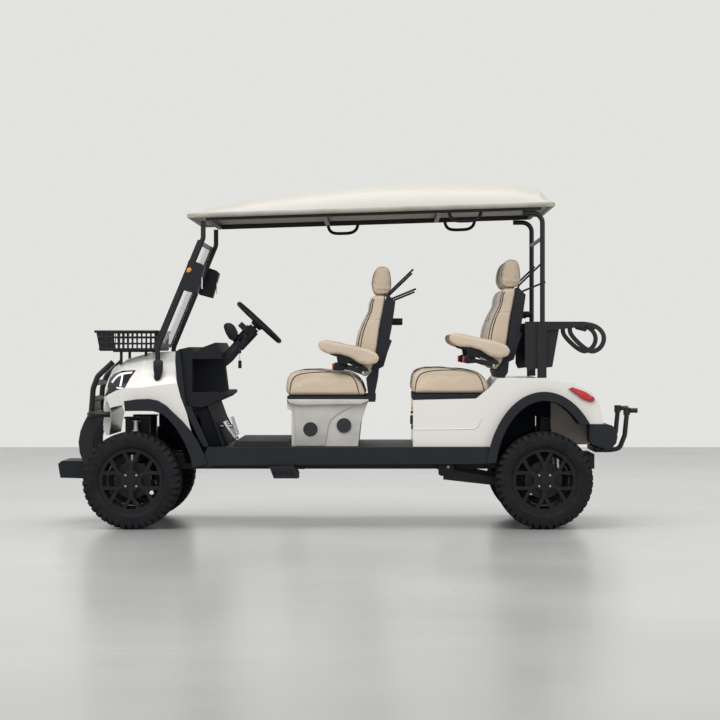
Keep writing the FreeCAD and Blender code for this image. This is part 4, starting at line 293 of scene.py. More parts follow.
@dataclass(frozen=True)
class BareMetal:
    """Plated or brushed metal with fine streaks."""

    name: str
    base: Colour
    rough: float = 0.3

    def make(self) -> bpy.types.Material:
        """Build the material."""
        shader = Shader(self.name, Metallic=1.0)
        streak = shader.noise(60.0, 4.0, (1, 12, 1))
        shader.colour(streak, tone(self.base, 0.8), tone(self.base, 1.12))
        shader.roughness(streak, self.rough - 0.08, self.rough + 0.14)
        shader.bump(streak, 0.08, 0.0003)
        return shader.material


@dataclass(frozen=True)
class Vinyl:
    """Upholstery vinyl with a leather grain."""

    name: str
    base: Colour
    rough: float = 0.45

    def make(self) -> bpy.types.Material:
        """Build the material."""
        shader = Shader(self.name, Sheen_Weight=0.12, Sheen_Roughness=0.5)
        shader.colour(shader.noise(5.0, 4.0), tone(self.base, 0.93), tone(self.base, 1.06))
        shader.roughness(shader.noise(25.0, 3.0), self.rough - 0.06, self.rough + 0.1)
        shader.bump(shader.cells(420.0), 0.3, 0.0006)
        shader.bump(shader.noise(16.0, 3.0), 0.16, 0.004)
        return shader.material


@dataclass(frozen=True)
class TyreRubber:
    """Dull rubber, mottled a little lighter and darker at random."""

    name: str
    base: Colour
    rough: float = 0.78

    def make(self) -> bpy.types.Material:
        """Build the material."""
        shader = Shader(self.name, Specular_IOR_Level=0.22)
        shader.colour(shader.noise(14.0, 6.0), tone(self.base, 0.7), tone(self.base, 1.35))
        shader.roughness(shader.noise(60.0, 3.0), self.rough - 0.1, self.rough + 0.1)
        shader.bump(shader.noise(320.0, 2.0), 0.2, 0.0006)
        return shader.material


@dataclass(frozen=True)
class RibbedRubber:
    """Floor-mat rubber with ribs along the cart."""

    name: str
    base: Colour

    def make(self) -> bpy.types.Material:
        """Build the material."""
        shader = Shader(self.name)
        ribs = shader.bands(22.0, "Y")
        # Painted shade and highlight: the colour follows the ribs' height, darker in the grooves and lighter on the
        # ribs' tops.
        shader.colour(ribs, tone(self.base, 0.6), tone(self.base, 1.25))
        shader.roughness(shader.noise(30.0), 0.6, 0.8)
        shader.bump(ribs, 0.6, 0.003)
        shader.bump(shader.cells(600.0), 0.2, 0.0004)
        return shader.material


@dataclass(frozen=True)
class Webbing:
    """Woven belt with ribs across its width."""

    name: str
    base: Colour

    def make(self) -> bpy.types.Material:
        """Build the material."""
        shader = Shader(self.name, Sheen_Weight=0.2)
        weave = shader.product(shader.bands(160.0, "Y"), shader.bands(160.0, "DIAGONAL"))
        # Painted shade and highlight: the colour follows the weave's height, darker between the threads and lighter
        # on their tops.
        shader.colour(weave, tone(self.base, 0.6), tone(self.base, 1.5), 0.1, 0.9)
        shader.roughness(weave, 0.65, 0.9)
        shader.bump(weave, 0.5, 0.0008)
        return shader.material


@dataclass(frozen=True)
class Mesh:
    """Pressed speaker mesh of small round holes."""

    name: str
    base: Colour

    def make(self) -> bpy.types.Material:
        """Build the material."""
        shader = Shader(self.name, Metallic=0.4)
        holes = shader.cells(230.0)
        # Painted shade: the holes are coloured darker than the metal between them, as shade inside them.
        shader.colour(holes, tone(self.base, 0.3), tone(self.base, 1.6), 0.2, 0.45)
        shader.roughness(shader.noise(40.0), 0.45, 0.6)
        shader.bump(holes, 0.8, 0.001)
        return shader.material


@dataclass(frozen=True)
class Lens:
    """Clear or tinted moulded lens."""

    name: str
    base: Colour
    transmission: float = 0.0
    rough: float = 0.06
    glow: float = 0.0
    shine: float = 0.5

    def make(self) -> bpy.types.Material:
        """Build the material."""
        shader = Shader(self.name, Transmission_Weight=self.transmission, IOR=1.49, Coat_Roughness=0.04,
                        Coat_Weight=self.shine * 1.2, Specular_IOR_Level=self.shine,
                        Emission_Color=(*self.base, 1), Emission_Strength=self.glow)
        shader.colour(shader.noise(20.0), tone(self.base, 0.9), tone(self.base, 1.08))
        shader.roughness(shader.noise(12.0), self.rough, self.rough + 0.05)
        shader.bump(shader.noise(80.0, 1.0), 0.03, 0.0005)
        return shader.material


@dataclass(frozen=True)
class ClearSheet:
    """The windscreen's clear sheet, a little dusty in random patches."""

    name: str
    base: Colour = (0.86, 0.9, 0.89)

    def make(self) -> bpy.types.Material:
        """Build the material."""
        shader = Shader(self.name, Alpha=0.22, IOR=1.5, Coat_Weight=1.0, Coat_Roughness=0.03)
        shader.colour(shader.noise(4.0, 3.0), tone(self.base, 0.9), self.base)
        shader.roughness(shader.noise(6.0, 4.0), 0.05, 0.14)
        shader.material.surface_render_method = "BLENDED"
        return shader.material


BODY_WHITE: Colour = (0.80, 0.77, 0.725)
CHARCOAL: Colour = (0.0095, 0.0112, 0.0155)
TAN: Colour = (0.60, 0.485, 0.365)
GREIGE: Colour = (0.56, 0.54, 0.50)
ROOF_SLOPE = 0.0318
ROOF_RIM_TOP = 1.902

# The record's slot for each finish whose name isn't a slot itself.
SLOT_OF_FINISH = {
    "dark_trim_smooth": "dark_trim", "deep_trim": "dark_trim", "guard_liner": "dark_trim", "piping": "dark_trim",
    "strap_web": "dark_trim", "roof_edge": "beige_plastic", "lamp_strip": "lamp_lens", "tail_bright": "tail_lens",
    "amber_lens": "tail_lens", "buckle_red": "tail_lens", "mirror_glass": "screen_glass", "grip": "mat_rubber",
    "copper_bolt": "plated_steel"}


class Finishes:
    """Every material of the cart, made once and found by name."""

    def __init__(self) -> None:
        """Make the materials."""
        makers = (
            Paint("body_paint", BODY_WHITE),
            # Painted light: the roof's white is the body's white made lighter, for the strong light that falls on the
            # roof from above.
            RoofPaint("roof_paint", (0.955, 0.94, 0.915), (0.37, 0.35, 0.31), ROOF_RIM_TOP, ROOF_SLOPE),
            Moulding("dark_trim", CHARCOAL),
            Moulding("dark_trim_smooth", tone(CHARCOAL, 0.8), 0.4, 1400.0, 0.12),
            Moulding("deep_trim", tone(CHARCOAL, 0.7), 0.8, 900.0, 0.2, 0.08),
            Moulding("dash_trim", (0.0155, 0.0165, 0.019), 0.75, 900.0, 0.25, 0.14),
            Moulding("headliner", (0.36, 0.315, 0.265), 0.8, 700.0, 0.2, 0.2),
            Moulding("roof_edge", (0.37, 0.35, 0.305), 0.65, 700.0, 0.15, 0.15),
            # Painted shade: the rear arch's inner panel takes the brown-grey that the white body's inner surface
            # shows in shade.
            Moulding("guard_liner", (0.33, 0.29, 0.26), 0.8, 700.0, 0.25, 0.1),
            PowderCoat("frame_steel", (0.0075, 0.008, 0.010)),
            PowderCoat("rim_black", (0.0080, 0.0084, 0.0098), 0.22, 0.26),
            BareMetal("plated_steel", (0.55, 0.55, 0.56)),
            BareMetal("copper_bolt", (0.62, 0.33, 0.22), 0.35),
            Vinyl("upholstery", TAN),
            Vinyl("piping", (0.03, 0.028, 0.027), 0.5),
            TyreRubber("tyre_rubber", (0.0105, 0.011, 0.0125)),
            TyreRubber("grip", (0.008, 0.008, 0.0095), 0.55),
            RibbedRubber("mat_rubber", (0.010, 0.0105, 0.0125)),
            Moulding("beige_plastic", GREIGE, 0.5, 1100.0, 0.12),
            Lens("lamp_lens", (0.008, 0.009, 0.012), 0.0, 0.08, 0.0, 0.16),
            Lens("lamp_strip", (0.90, 0.91, 0.92), 0.0, 0.2, 0.2),
            Lens("tail_lens", (0.33, 0.006, 0.010), 0.1),
            Lens("tail_bright", (0.60, 0.012, 0.018), 0.1, 0.1, 0.05),
            Lens("amber_lens", (0.83, 0.31, 0.025), 0.1),
            Lens("buckle_red", (0.6, 0.02, 0.02), 0.0, 0.35),
            Lens("mirror_glass", (0.30, 0.38, 0.30), 0.0, 0.03),
            ClearSheet("screen_glass"),
            Webbing("strap_web", (0.012, 0.012, 0.014)),
            Mesh("speaker_mesh", (0.02, 0.021, 0.024)),
        )
        self.by_name = {maker.name: maker.make() for maker in makers}

    def __getitem__(self, name: str) -> bpy.types.Material:
        """Give a material by its finish's name."""
        return self.by_name[name]


# Mesh helpers


class Workshop:
    """Turns bmeshes into pieces that ride on the cart's bodies."""

    def __init__(self, frame: dict[str, Any], finishes: Finishes) -> None:
        """Keep the frame and the finishes."""
        self.nodes: dict[str, bpy.types.Object] = frame["nodes"]
        self.finishes = finishes
        self.trees: dict[str, BVHTree] = {}

    def piece(self, mesh: BMesh, name: str, finish: str, body: str = "vehicle",
              slot: str | None = None, smooth: float = 35.0, place: Matrix | None = None) -> bpy.types.Object:
        """Make an object of a bmesh, dress it and let it ride on a body.

        Args:
            mesh: the finished bmesh; it is freed.
            name: the piece's name.
            finish: the material's name.
            body: the body that it rides on.
            slot: the record's material slot, or None for the one that goes with the finish; not used, as the piece is
                given no slot.
            smooth: the angle in degrees under which edges shade smooth.
            place: where the bmesh goes in the row frame, if it isn't made there.

        Returns:
            The piece.
        """
        if place is not None:
            bmesh.ops.transform(mesh, matrix=place, verts=mesh.verts)
        bmesh.ops.recalc_face_normals(mesh, faces=mesh.faces)
        data = bpy.data.meshes.new(name)
        mesh.to_mesh(data)
        mesh.free()
        return self.adopt(data, name, finish, body, slot, smooth)

    def plate(self, name: str, outline: Outline, span: tuple[float, float], rounding: float,
              finish: str = "dark_trim_smooth", slot: str | None = None, place: Matrix | None = None) -> None:
        """Make a piece of one plate, with slab()'s outline and rounding and piece()'s finish, slot and place."""
        mesh = bmesh.new()
        slab(mesh, outline, *span, rounding)
        self.piece(mesh, name, finish, slot=slot, place=place)

    def adopt(self, data: bpy.types.Mesh, name: str, finish: str, body: str = "vehicle",
              slot: str | None = None, smooth: float | None = 40.0) -> bpy.types.Object:
        """Make a piece of a finished mesh, as piece() does; its shading stays as it is where smooth is None."""
        slot = slot or SLOT_OF_FINISH.get(finish, finish)
        item = bpy.data.objects.new(name, data)
        bpy.context.scene.collection.objects.link(item)
        data.materials.clear()
        data.materials.append(self.finishes[finish])
        if smooth is not None:
            data.shade_smooth()
            data.set_sharp_from_angle(angle=math.radians(smooth))
        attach(item, body)
        LOG.info("%s: %d faces on %s", name, len(data.polygons), body)
        return item

    def dress(self, finish: str, *nodes: str) -> None:
        """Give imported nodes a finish."""
        for node in nodes:
            item = self.nodes[node]
            if not item.material_slots:
                item.data.materials.append(self.finishes[finish])
            for slot in item.material_slots:
                slot.link = "OBJECT"
                slot.material = self.finishes[finish]

    def copy_of(self, node: str) -> BMesh:
        """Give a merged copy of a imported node's mesh."""
        mesh = bmesh.new()
        mesh.from_mesh(self.nodes[node].data)
        bmesh.ops.remove_doubles(mesh, verts=mesh.verts, dist=1e-5)
        return mesh

    def solids_of(self, node: str) -> list[BMesh]:
        """Give each separate solid of a node as its own bmesh, in order of X, then Y."""
        whole = self.copy_of(node)
        left = set(whole.verts)
        found = []
        while left:
            seed = left.pop()
            island = {seed}
            stack = [seed]
            while stack:
                for edge in stack.pop().link_edges:
                    for vert in edge.verts:
                        if vert not in island:
                            island.add(vert)
                            stack.append(vert)
            left -= island
            part = whole.copy()
            part.verts.ensure_lookup_table()
            keep = {vert.index for vert in island}
            bmesh.ops.delete(part, geom=[v for v in part.verts if v.index not in keep], context="VERTS")
            found.append(part)
        whole.free()
        found.sort(key=lambda part: (round(min(v.co.x for v in part.verts), 2),
                                     min(v.co.y for v in part.verts)))
        return found

    def surface(self, node: str, start: Point, way: Point) -> Vector:
        """Give the point where a line first meets a node, or its start where it misses."""
        if node not in self.trees:
            mesh = self.copy_of(node)
            self.trees[node] = BVHTree.FromBMesh(mesh)
            mesh.free()
        hit = self.trees[node].ray_cast(Vector(start), Vector(way).normalized())
        return hit[0] if hit[0] else Vector(start)

    def laid(self, node: str, side: Side, line: Iterable[tuple[float, float]], proud: float = 0.0) -> list[Vector]:
        """Lay a line of (X, Z) points on a node, seen from one side of the cart."""
        return [self.surface(node, (x, side.value * OUTSIDE, z), -side.out(1)) + side.out(proud) for x, z in line]

    def patch(self, node: str, side: Side, upper: Outline, lower: Outline, proud: float) -> BMesh:
        """Give a thin plate between two (X, Z) lines of as many points, laid on a node.

        Args:
            node: the node that carries it.
            side: the cart's side.
            upper: the plate's one edge.
            lower: its other edge.
            proud: its thickness.

        Returns:
            The plate's bmesh.
        """
        first, second = finer(upper, 5), finer(lower, 5)
        mesh = bmesh.new()
        bmesh.ops.create_grid(mesh, x_segments=len(first) - 1, y_segments=4, size=0.5)
        missed, depth = [], 0.0
        for vert in mesh.verts:
            index = round((vert.co.x + 0.5) * (len(first) - 1))
            share = vert.co.y + 0.5
            spot = [a + (b - a) * share for a, b in zip(first[index], second[index])]
            vert.co = self.laid(node, side, [spot])[0]
            if abs(vert.co.y) > MISSED:
                missed.append(vert)
            else:
                depth = vert.co.y
        for vert in missed:
            vert.co = self.trees[node].find_nearest(Vector((vert.co.x, depth, vert.co.z)))[0]
        top = bmesh.ops.extrude_face_region(mesh, geom=mesh.faces[:])["geom"]
        bmesh.ops.translate(mesh, verts=[part for part in top if isinstance(part, bmesh.types.BMVert)],
                            vec=side.out(proud))
        return mesh

    def tube(self, points: Iterable[Point], radius: float, closed: bool = False,
             flat: float = 1.0) -> bpy.types.Mesh:
        """Give a round tube's mesh along a smooth line.

        Args:
            points: the line's control points.
            radius: the tube's radius.
            closed: whether the line joins its own start.
            flat: how far the section is drawn flat, as a share of its width.

        Returns:
            The tube's mesh.
        """
        curve = bpy.data.curves.new("line", "CURVE")
        curve.dimensions = "3D"
        curve.bevel_depth = radius
        curve.bevel_resolution = 3
        curve.use_fill_caps = True
        spline = curve.splines.new("NURBS")
        points = [Vector(point) for point in points]
        spline.points.add(len(points) - 1)
        for place, point in zip(spline.points, points):
            place.co = (*point, 1)
        spline.order_u = 3
        spline.use_endpoint_u = not closed
        spline.use_cyclic_u = closed
        spline.resolution_u = 6
        item = bpy.data.objects.new("line", curve)
        bpy.context.scene.collection.objects.link(item)
        bpy.context.view_layer.update()
        data = bpy.data.meshes.new_from_object(item.evaluated_get(bpy.context.evaluated_depsgraph_get()))
        bpy.data.objects.remove(item)
        bpy.data.curves.remove(curve)
        if flat != 1.0:
            middle = sum(point.y for point in points) / len(points)
            for vert in data.vertices:
                vert.co.y = middle + (vert.co.y - middle) * flat
        return data


def extent(verts: Iterable[Any]) -> tuple[Vector, ...]:
    """Give the lowest and the highest corner of some vertices' bounds."""
    points = [vert.co for vert in verts]
    return tuple(Vector(pick(point[axis] for point in points) for axis in range(3)) for pick in (min, max))


def finer(points: Sequence[Point], parts: int) -> list[tuple[float, ...]]:
    """Give a smooth line through points, with each stretch cut into parts."""
    last = len(points) - 1
    line = []
    for index in range(last):
        before, start, end, after = (points[min(max(index + step, 0), last)] for step in (-1, 0, 1, 2))
        for part in range(parts):
            t = part / parts
            line.append(tuple(0.5 * (2 * b + (c - a) * t + (2 * a - 5 * b + 4 * c - d) * t * t
                                     + (3 * b - a - 3 * c + d) * t ** 3)
                              for a, b, c, d in zip(before, start, end, after)))
    line.append(tuple(points[last]))
    return line


def block(mesh: BMesh, low: Point, high: Point, rounding: float) -> None:
    """Add a box between its lowest and highest corner, with rounded edges."""
    size = Vector(high) - Vector(low)
    place = Matrix.Translation((Vector(high) + Vector(low)) / 2) @ Matrix.Diagonal((*size, 1))
    verts = bmesh.ops.create_cube(mesh, size=1.0, matrix=place)["verts"]
    edges = list({edge for vert in verts for edge in vert.link_edges})
    bmesh.ops.bevel(mesh, geom=edges, offset=rounding, offset_type="OFFSET", segments=2, profile=0.5,
                    affect="EDGES", material=-1)


def rod(mesh: BMesh, start: Point, end: Point, radius: float, sides: int = 24,
        end_radius: float | None = None) -> None:
    """Add a capped cylinder or cone between two points."""
    start, end = Vector(start), Vector(end)
    along = end - start
    turn = along.to_track_quat("Z", "Y").to_matrix().to_4x4()
    place = Matrix.Translation((start + end) / 2) @ turn
    far = radius if end_radius is None else end_radius
    bmesh.ops.create_cone(mesh, cap_ends=True, segments=sides, radius1=radius, radius2=far, depth=along.length,
                          matrix=place)


def slab(mesh: BMesh, outline: Outline, start: float, end: float, rounding: float) -> None:
    """Add a plate with an (X, Z) outline between two places along Y.

    Args:
        mesh: the bmesh to add to.
        outline: the corners, in order.
        start: the plate's first face, along Y.
        end: its second face.
        rounding: the edges' radius.
    """
    ring = [mesh.verts.new((x, start, z)) for x, z in outline]
    made = bmesh.ops.extrude_face_region(mesh, geom=[mesh.faces.new(ring)])["geom"]
    far = [part for part in made if isinstance(part, bmesh.types.BMVert)]
    bmesh.ops.translate(mesh, verts=far, vec=(0, end - start, 0))
    edges = list({edge for vert in ring + far for edge in vert.link_edges})
    bmesh.ops.bevel(mesh, geom=edges, offset=rounding, offset_type="OFFSET", segments=2, profile=0.5,
                    affect="EDGES", material=-1, clamp_overlap=True)


def lattice(mesh: BMesh, corner: Vector, along: Point, up: Point, columns: int, rows: int,
            bar: float, thickness: float) -> None:
    """Add an open wall of slots from a corner and its two edges.

    Args:
        mesh: the bmesh to add to.
        corner: the wall's first corner.
        along: its lower edge.
        up: its upright edge.
        columns: the slots along it.
        rows: the slots up it.
        bar: half the width of the bars between slots.
        thickness: the wall's thickness.
    """
    along, up = Vector(along), Vector(up)
    facing = along.cross(up).normalized()
    place = Matrix.Translation(corner + (along + up) / 2) @ Matrix((along, up, facing)).transposed().to_4x4()
    verts = bmesh.ops.create_grid(mesh, x_segments=columns, y_segments=rows, size=0.5, matrix=place)["verts"]
    faces = list({face for vert in verts for face in vert.link_faces})
    bmesh.ops.inset_individual(mesh, faces=faces, thickness=bar, use_even_offset=True)
    bmesh.ops.delete(mesh, geom=faces, context="FACES_ONLY")
    left = list({face for vert in verts for face in vert.link_faces})
    bmesh.ops.solidify(mesh, geom=left, thickness=thickness)


def turned(mesh: BMesh, points: Sequence[tuple[float, float]], centre: Vector, steps: int) -> None:
    """Spin a closed profile of (along Y, radius) points round an axle through a point."""
    verts = [mesh.verts.new(centre + Vector((0, along, radius))) for along, radius in points]
    edges = [mesh.edges.new((a, b)) for a, b in zip(verts, verts[1:] + verts[:1])]
    bmesh.ops.spin(mesh, geom=verts + edges, cent=centre, axis=(0, 1, 0), dvec=(0, 0, 0),
                   angle=math.tau, steps=steps, use_merge=True, use_duplicate=False)
    bmesh.ops.remove_doubles(mesh, verts=mesh.verts, dist=1e-6)


class Skin:
    """A finished mesh that other pieces are laid on."""

    def __init__(self, data: bpy.types.Mesh) -> None:
        """Keep a search tree and the bounds of a mesh."""
        mesh = bmesh.new()
        mesh.from_mesh(data)
        self.tree = BVHTree.FromBMesh(mesh)
        mesh.free()
        self.low, self.high = extent(data.vertices)

    def share(self, *shares: float) -> Vector:
        """Give the point at these shares of the bounds."""
        return Vector(low + (high - low) * part for low, high, part in zip(self.low, self.high, shares))

    def depth(self, y: float, z: float, share: float) -> float:
        """Give the X at a share of the way from the front surface to the rear one, at one Y and Z."""
        front = self.tree.ray_cast(Vector((self.low.x - 1, y, z)), Vector((1, 0, 0)))[0]
        rear = self.tree.ray_cast(Vector((self.high.x + 1, y, z)), Vector((-1, 0, 0)))[0]
        if not front or not rear:
            return (self.low.x + self.high.x) / 2
        return front.x + (rear.x - front.x) * share

    def drop(self, point: Vector, way: Point) -> Vector:
        """Give the surface point met when coming from far outside along a way."""
        way = Vector(way).normalized()
        hit = self.tree.ray_cast(point - way, way)[0]
        return hit if hit else point


@dataclass(frozen=True)
class Filling:
    """How a soft piece is cut and filled, in metres."""

    shrink: float
    rounding: float
    voxel: float
    cap: float
    pressure: float = 4.0
    steps: int = 20

    def swell(self, mesh: BMesh, held_below: float) -> bpy.types.Mesh:
        """Fill a closed form as cloth under pressure.

        Args:
            mesh: the form, freed here.
            held_below: the height under which the cloth stays where it is.

        Returns:
            The swollen, subdivided mesh.
        """
        bmesh.ops.remove_doubles(mesh, verts=mesh.verts, dist=1e-4)
        bmesh.ops.dissolve_limit(mesh, angle_limit=0.05, verts=mesh.verts, edges=mesh.edges)
        bmesh.ops.recalc_face_normals(mesh, faces=mesh.faces)
        sharp = [edge for edge in mesh.edges if edge.is_manifold and edge.calc_face_angle(0.0) > 0.6]
        bmesh.ops.bevel(mesh, geom=sharp, offset=self.rounding, offset_type="OFFSET", segments=4,
                        profile=0.5, affect="EDGES", material=-1, clamp_overlap=True)
        low, high = extent(mesh.verts)
        middle = (low + high) / 2
        for vert in mesh.verts:
            for axis in range(3):
                half = (high[axis] - low[axis]) / 2
                vert.co[axis] = middle[axis] + (vert.co[axis] - middle[axis]) * (half - self.shrink) / half
        data = bpy.data.meshes.new("form")
        mesh.to_mesh(data)
        mesh.free()
        item = bpy.data.objects.new("form", data)
        bpy.context.scene.collection.objects.link(item)
        self.modify(item, "REMESH", mode="VOXEL", voxel_size=self.voxel)
        self.modify(item, "SMOOTH", factor=0.5, iterations=4)
        self.blow(item, held_below)
        self.modify(item, "SUBSURF", levels=1, render_levels=1)
        data = item.data
        bpy.data.objects.remove(item)
        return data

    def modify(self, item: bpy.types.Object, kind: str, **options: Any) -> None:
        """Add a modifier and apply it."""
        modifier = item.modifiers.new(kind.lower(), kind)
        for option, value in options.items():
            setattr(modifier, option, value)
        self.apply(item)

    def apply(self, item: bpy.types.Object) -> None:
        """Replace a piece's mesh by its modified one."""
        bpy.context.view_layer.update()
        graph = bpy.context.evaluated_depsgraph_get()
        data = bpy.data.meshes.new_from_object(item.evaluated_get(graph))
        item.modifiers.clear()
        item.data = data

    def blow(self, item: bpy.types.Object, held_below: float) -> None:
        """Run the cloth under pressure and keep each point within the cap."""
        rest = [vert.co.copy() for vert in item.data.vertices]
        group = item.vertex_groups.new(name="held")
        group.add([index for index, point in enumerate(rest) if point.z < held_below], 1.0, "REPLACE")
        cloth = item.modifiers.new("cloth", "CLOTH")
        cloth.settings.quality = 5
        cloth.settings.mass = 0.3
        cloth.settings.tension_stiffness = 15
        cloth.settings.compression_stiffness = 15
        cloth.settings.bending_stiffness = 0.5
        cloth.settings.use_pressure = True
        cloth.settings.uniform_pressure_force = self.pressure
        cloth.settings.effector_weights.gravity = 0
        cloth.settings.vertex_group_mass = "held"
        cloth.point_cache.frame_start = 1
        cloth.point_cache.frame_end = self.steps
        for frame in range(1, self.steps + 1):
            bpy.context.scene.frame_set(frame)
        self.apply(item)
        for vert, point in zip(item.data.vertices, rest):
            move = vert.co - point
            if move.length > self.cap:
                vert.co = point + move.normalized() * self.cap
        bpy.context.scene.frame_set(1)


@dataclass(frozen=True)
class Channel:
    """A sewn channel across a soft piece: a plane along one axis, pressed in against the normals."""

    axis: int
    share: float
    width: float
    depth: float
    facing: Point
    start: float = 0.0
    end: float = 1.0
    run: int = 1

    def press(self, data: bpy.types.Mesh) -> None:
        """Press the channel into a mesh."""
        low, high = extent(data.vertices)
        centre = low[self.axis] + (high[self.axis] - low[self.axis]) * self.share
        length = high[self.run] - low[self.run]
        moves = []
        for vert in data.vertices:
            away = abs(vert.co[self.axis] - centre)
            along = (vert.co[self.run] - low[self.run]) / length
            if away > 3 * self.width or not self.start <= along <= self.end:
                continue
            facing = vert.normal.dot(Vector(self.facing))
            if facing > 0.2:
                moves.append((vert, vert.normal * (self.depth * math.exp(-(away / self.width) ** 2)
                                                   * min(1.0, facing * 1.5))))
        for vert, move in moves:
            vert.co -= move


@dataclass(frozen=True)
class Seating:
    """The four seats: soft cushions, backs and headrests with their seams and piping, in metres."""

    piping_radius: float = 0.0032
    headrest_points: int = 14
    cushion: Filling = Filling(0.003, 0.020, 0.0085, 0.005)
    back: Filling = Filling(0.0025, 0.016, 0.0085, 0.005)
    headrest: Filling = Filling(0.0025, 0.018, 0.007, 0.005)

    def build(self, shop: Workshop) -> None:
        """Make every seat."""
        self.spread(shop, "seat_cushions", "cushion", self.cushion, self.cushion_seams(), self.cushion_piping)
        self.spread(shop, "seat_backs", "back", self.back, self.back_seams(), self.back_piping)
        self.spread(shop, "headrests", "headrest", self.headrest, (), self.headrest_piping)

    def cushion_seams(self) -> tuple[Channel, ...]:
        """Give the cushion's sewn channels."""
        up = (0, 0, 1)
        return (*(Channel(1, share, 0.007, 0.010, up, 0.02, 0.98, 0) for share in (0.2, 0.8)),
                Channel(0, 0.36, 0.007, 0.008, up, 0.2, 0.8, 1))

    def back_seams(self) -> tuple[Channel, ...]:
        """Give the back's sewn channels."""
        ahead = (-1, 0, 0)
        channels = [Channel(1, share, 0.007, 0.009, ahead, 0.03, 0.97, 2) for share in (0.2, 0.8)]
        channels.append(Channel(2, 0.62, 0.007, 0.008, ahead, 0.2, 0.8, 1))
        channels += [Channel(2, 0.70, 0.0035, 0.0025, (0, side.value, 0), 0.0, 1.0, 0) for side in Side]
        return tuple(channels)

    def spread(self, shop: Workshop, node: str, name: str, filling: Filling, seams: Sequence[Channel],
               piping: Any) -> None:
        """Make one soft kind from the node's first solid and set it in each seat.

        Args:
            shop: the workshop.
            node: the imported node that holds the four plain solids.
            name: the pieces' name.
            filling: how it is filled.
            seams: its channels.
            piping: a method that gives the piping's lines on a skin.
        """
        solids = shop.solids_of(node)
        corners = [extent(solid.verts)[0] for solid in solids]
        top = extent(solids[0].verts)[1].z
        data = filling.swell(solids[0], corners[0].z + 0.1 * (top - corners[0].z))
        for seam in seams:
            seam.press(data)
        skin = Skin(data)
        cords = [shop.tube(line, self.piping_radius, closed) for line, closed in piping(skin)]
        for index, corner in enumerate(corners):
            place = Matrix.Translation(corner - corners[0])
            soft = data.copy()
            soft.transform(place)
            item = shop.adopt(soft, f"{name}_{index + 1}", "upholstery", smooth=None)
            soft.shade_smooth()
            if index == 0:
                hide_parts(node)
            for line, cord in enumerate(cords):
                trim = cord.copy()
                trim.transform(place)
                shop.adopt(trim, f"{name}_{index + 1}_piping_{line + 1}", "piping")

    def cushion_piping(self, skin: Skin) -> list[tuple[list[Vector], bool]]:
        """Give the line round each side panel of the cushion, and the one inside the top's edge."""
        arch = finer(((0.05, 0.03), (0.062, 0.40), (0.10, 0.68), (0.17, 0.82), (0.32, 0.885), (0.54, 0.90),
                      (0.73, 0.87), (0.83, 0.74), (0.89, 0.46), (0.925, 0.03)), 4)
        top = finer(((0.05,), (0.1,), (0.3,), (0.5,), (0.7,), (0.84,), (0.93,)), 3)
        lines = []
        for side in Side:
            lines.append(([skin.drop(skin.share(x, 0.5, z) + side.out(0.5), -side.out(1)) for x, z in arch], False))
            across = 0.5 + side.value * 0.38
            lines.append(([skin.drop(skin.share(x, across, 1.5), (0, 0, -1)) for x, in top], False))
        return lines

    def back_piping(self, skin: Skin) -> list[tuple[list[Vector], bool]]:
        """Give two close lines along each front edge of the back."""
        lines = []
        for side in Side:
            for share in (0.12, 0.23):
                run = []
                for height, in finer(((0.03,), (0.2,), (0.35,), (0.5,), (0.65,), (0.8,), (0.96,)), 3):
                    middle = skin.share(0, 0.5, height)
                    x = skin.depth(middle.y + side.value * 0.16, middle.z, share)
                    run.append(skin.drop(Vector((x, middle.y, middle.z)) + side.out(0.4), -side.out(1)))
                lines.append((run, False))
        return lines

    def headrest_piping(self, skin: Skin) -> list[tuple[list[Vector], bool]]:
        """Give the line round each side of the headrest."""
        lines = []
        for side in Side:
            line = []
            middle = skin.share(0.5, 0.5 + side.value * 0.36, 0.5)
            for turn in range(self.headrest_points):
                angle = math.tau * turn / self.headrest_points
                out = Vector((math.cos(angle), 0, math.sin(angle)))
                line.append(skin.drop(middle + out * 0.4, -out))
            lines.append((line, True))
        return lines


@dataclass(frozen=True)
class ArmPads:
    """Soft pads over the four hinged armrests, with the bracket below each, in metres."""

    filling: Filling = Filling(-0.0015, 0.024, 0.0065, 0.005)
    bracket: Outline = (
        (-0.122, 1.064), (-0.110, 1.076), (-0.050, 1.074), (0.030, 1.048), (0.090, 1.002), (0.104, 0.984),
        (0.070, 0.984), (0.040, 1.004), (0.018, 1.000), (0.004, 0.985), (-0.040, 0.989), (-0.052, 1.004),
        (-0.056, 1.034), (-0.086, 1.042))
    bracket_half: float = 0.019
    bracket_rounding: float = 0.004
    pin: tuple[float, float] = (0.151, 1.029)
    pin_half: float = 0.030
    pin_radius: float = 0.013

    def build(self, shop: Workshop) -> None:
        """Make each pad and bracket; the right ones mirror the left ones."""
        low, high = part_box("armrest_front_left")
        depth = abs(low[1] + high[1]) / 2
        data = self.filling.swell(shop.copy_of("armrest_front_left"), low[2])
        x, z = self.pin
        for corner, side in CORNERS:
            node = f"armrest_{corner}"
            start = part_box(node)[0]
            place = Matrix.Translation((start[0] - low[0], 0, start[2] - low[2]))
            soft = data.copy()
            soft.transform(place @ Matrix.Scale(-side.value, 4, (0, 1, 0)))
            if side is Side.RIGHT:
                soft.flip_normals()
            item = shop.adopt(soft, f"arm_pad_{corner}", "upholstery", node, "arm_pad", None)
            soft.shade_smooth()
            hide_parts(node)
            mesh = bmesh.new()
            middle = side.value * depth
            slab(mesh, self.bracket, middle - self.bracket_half, middle + self.bracket_half, self.bracket_rounding)
            rod(mesh, (x, middle - self.pin_half, z), (x, middle + self.pin_half, z), self.pin_radius)
            shop.piece(mesh, f"arm_bracket_{corner}", "dark_trim_smooth", node, place=place)


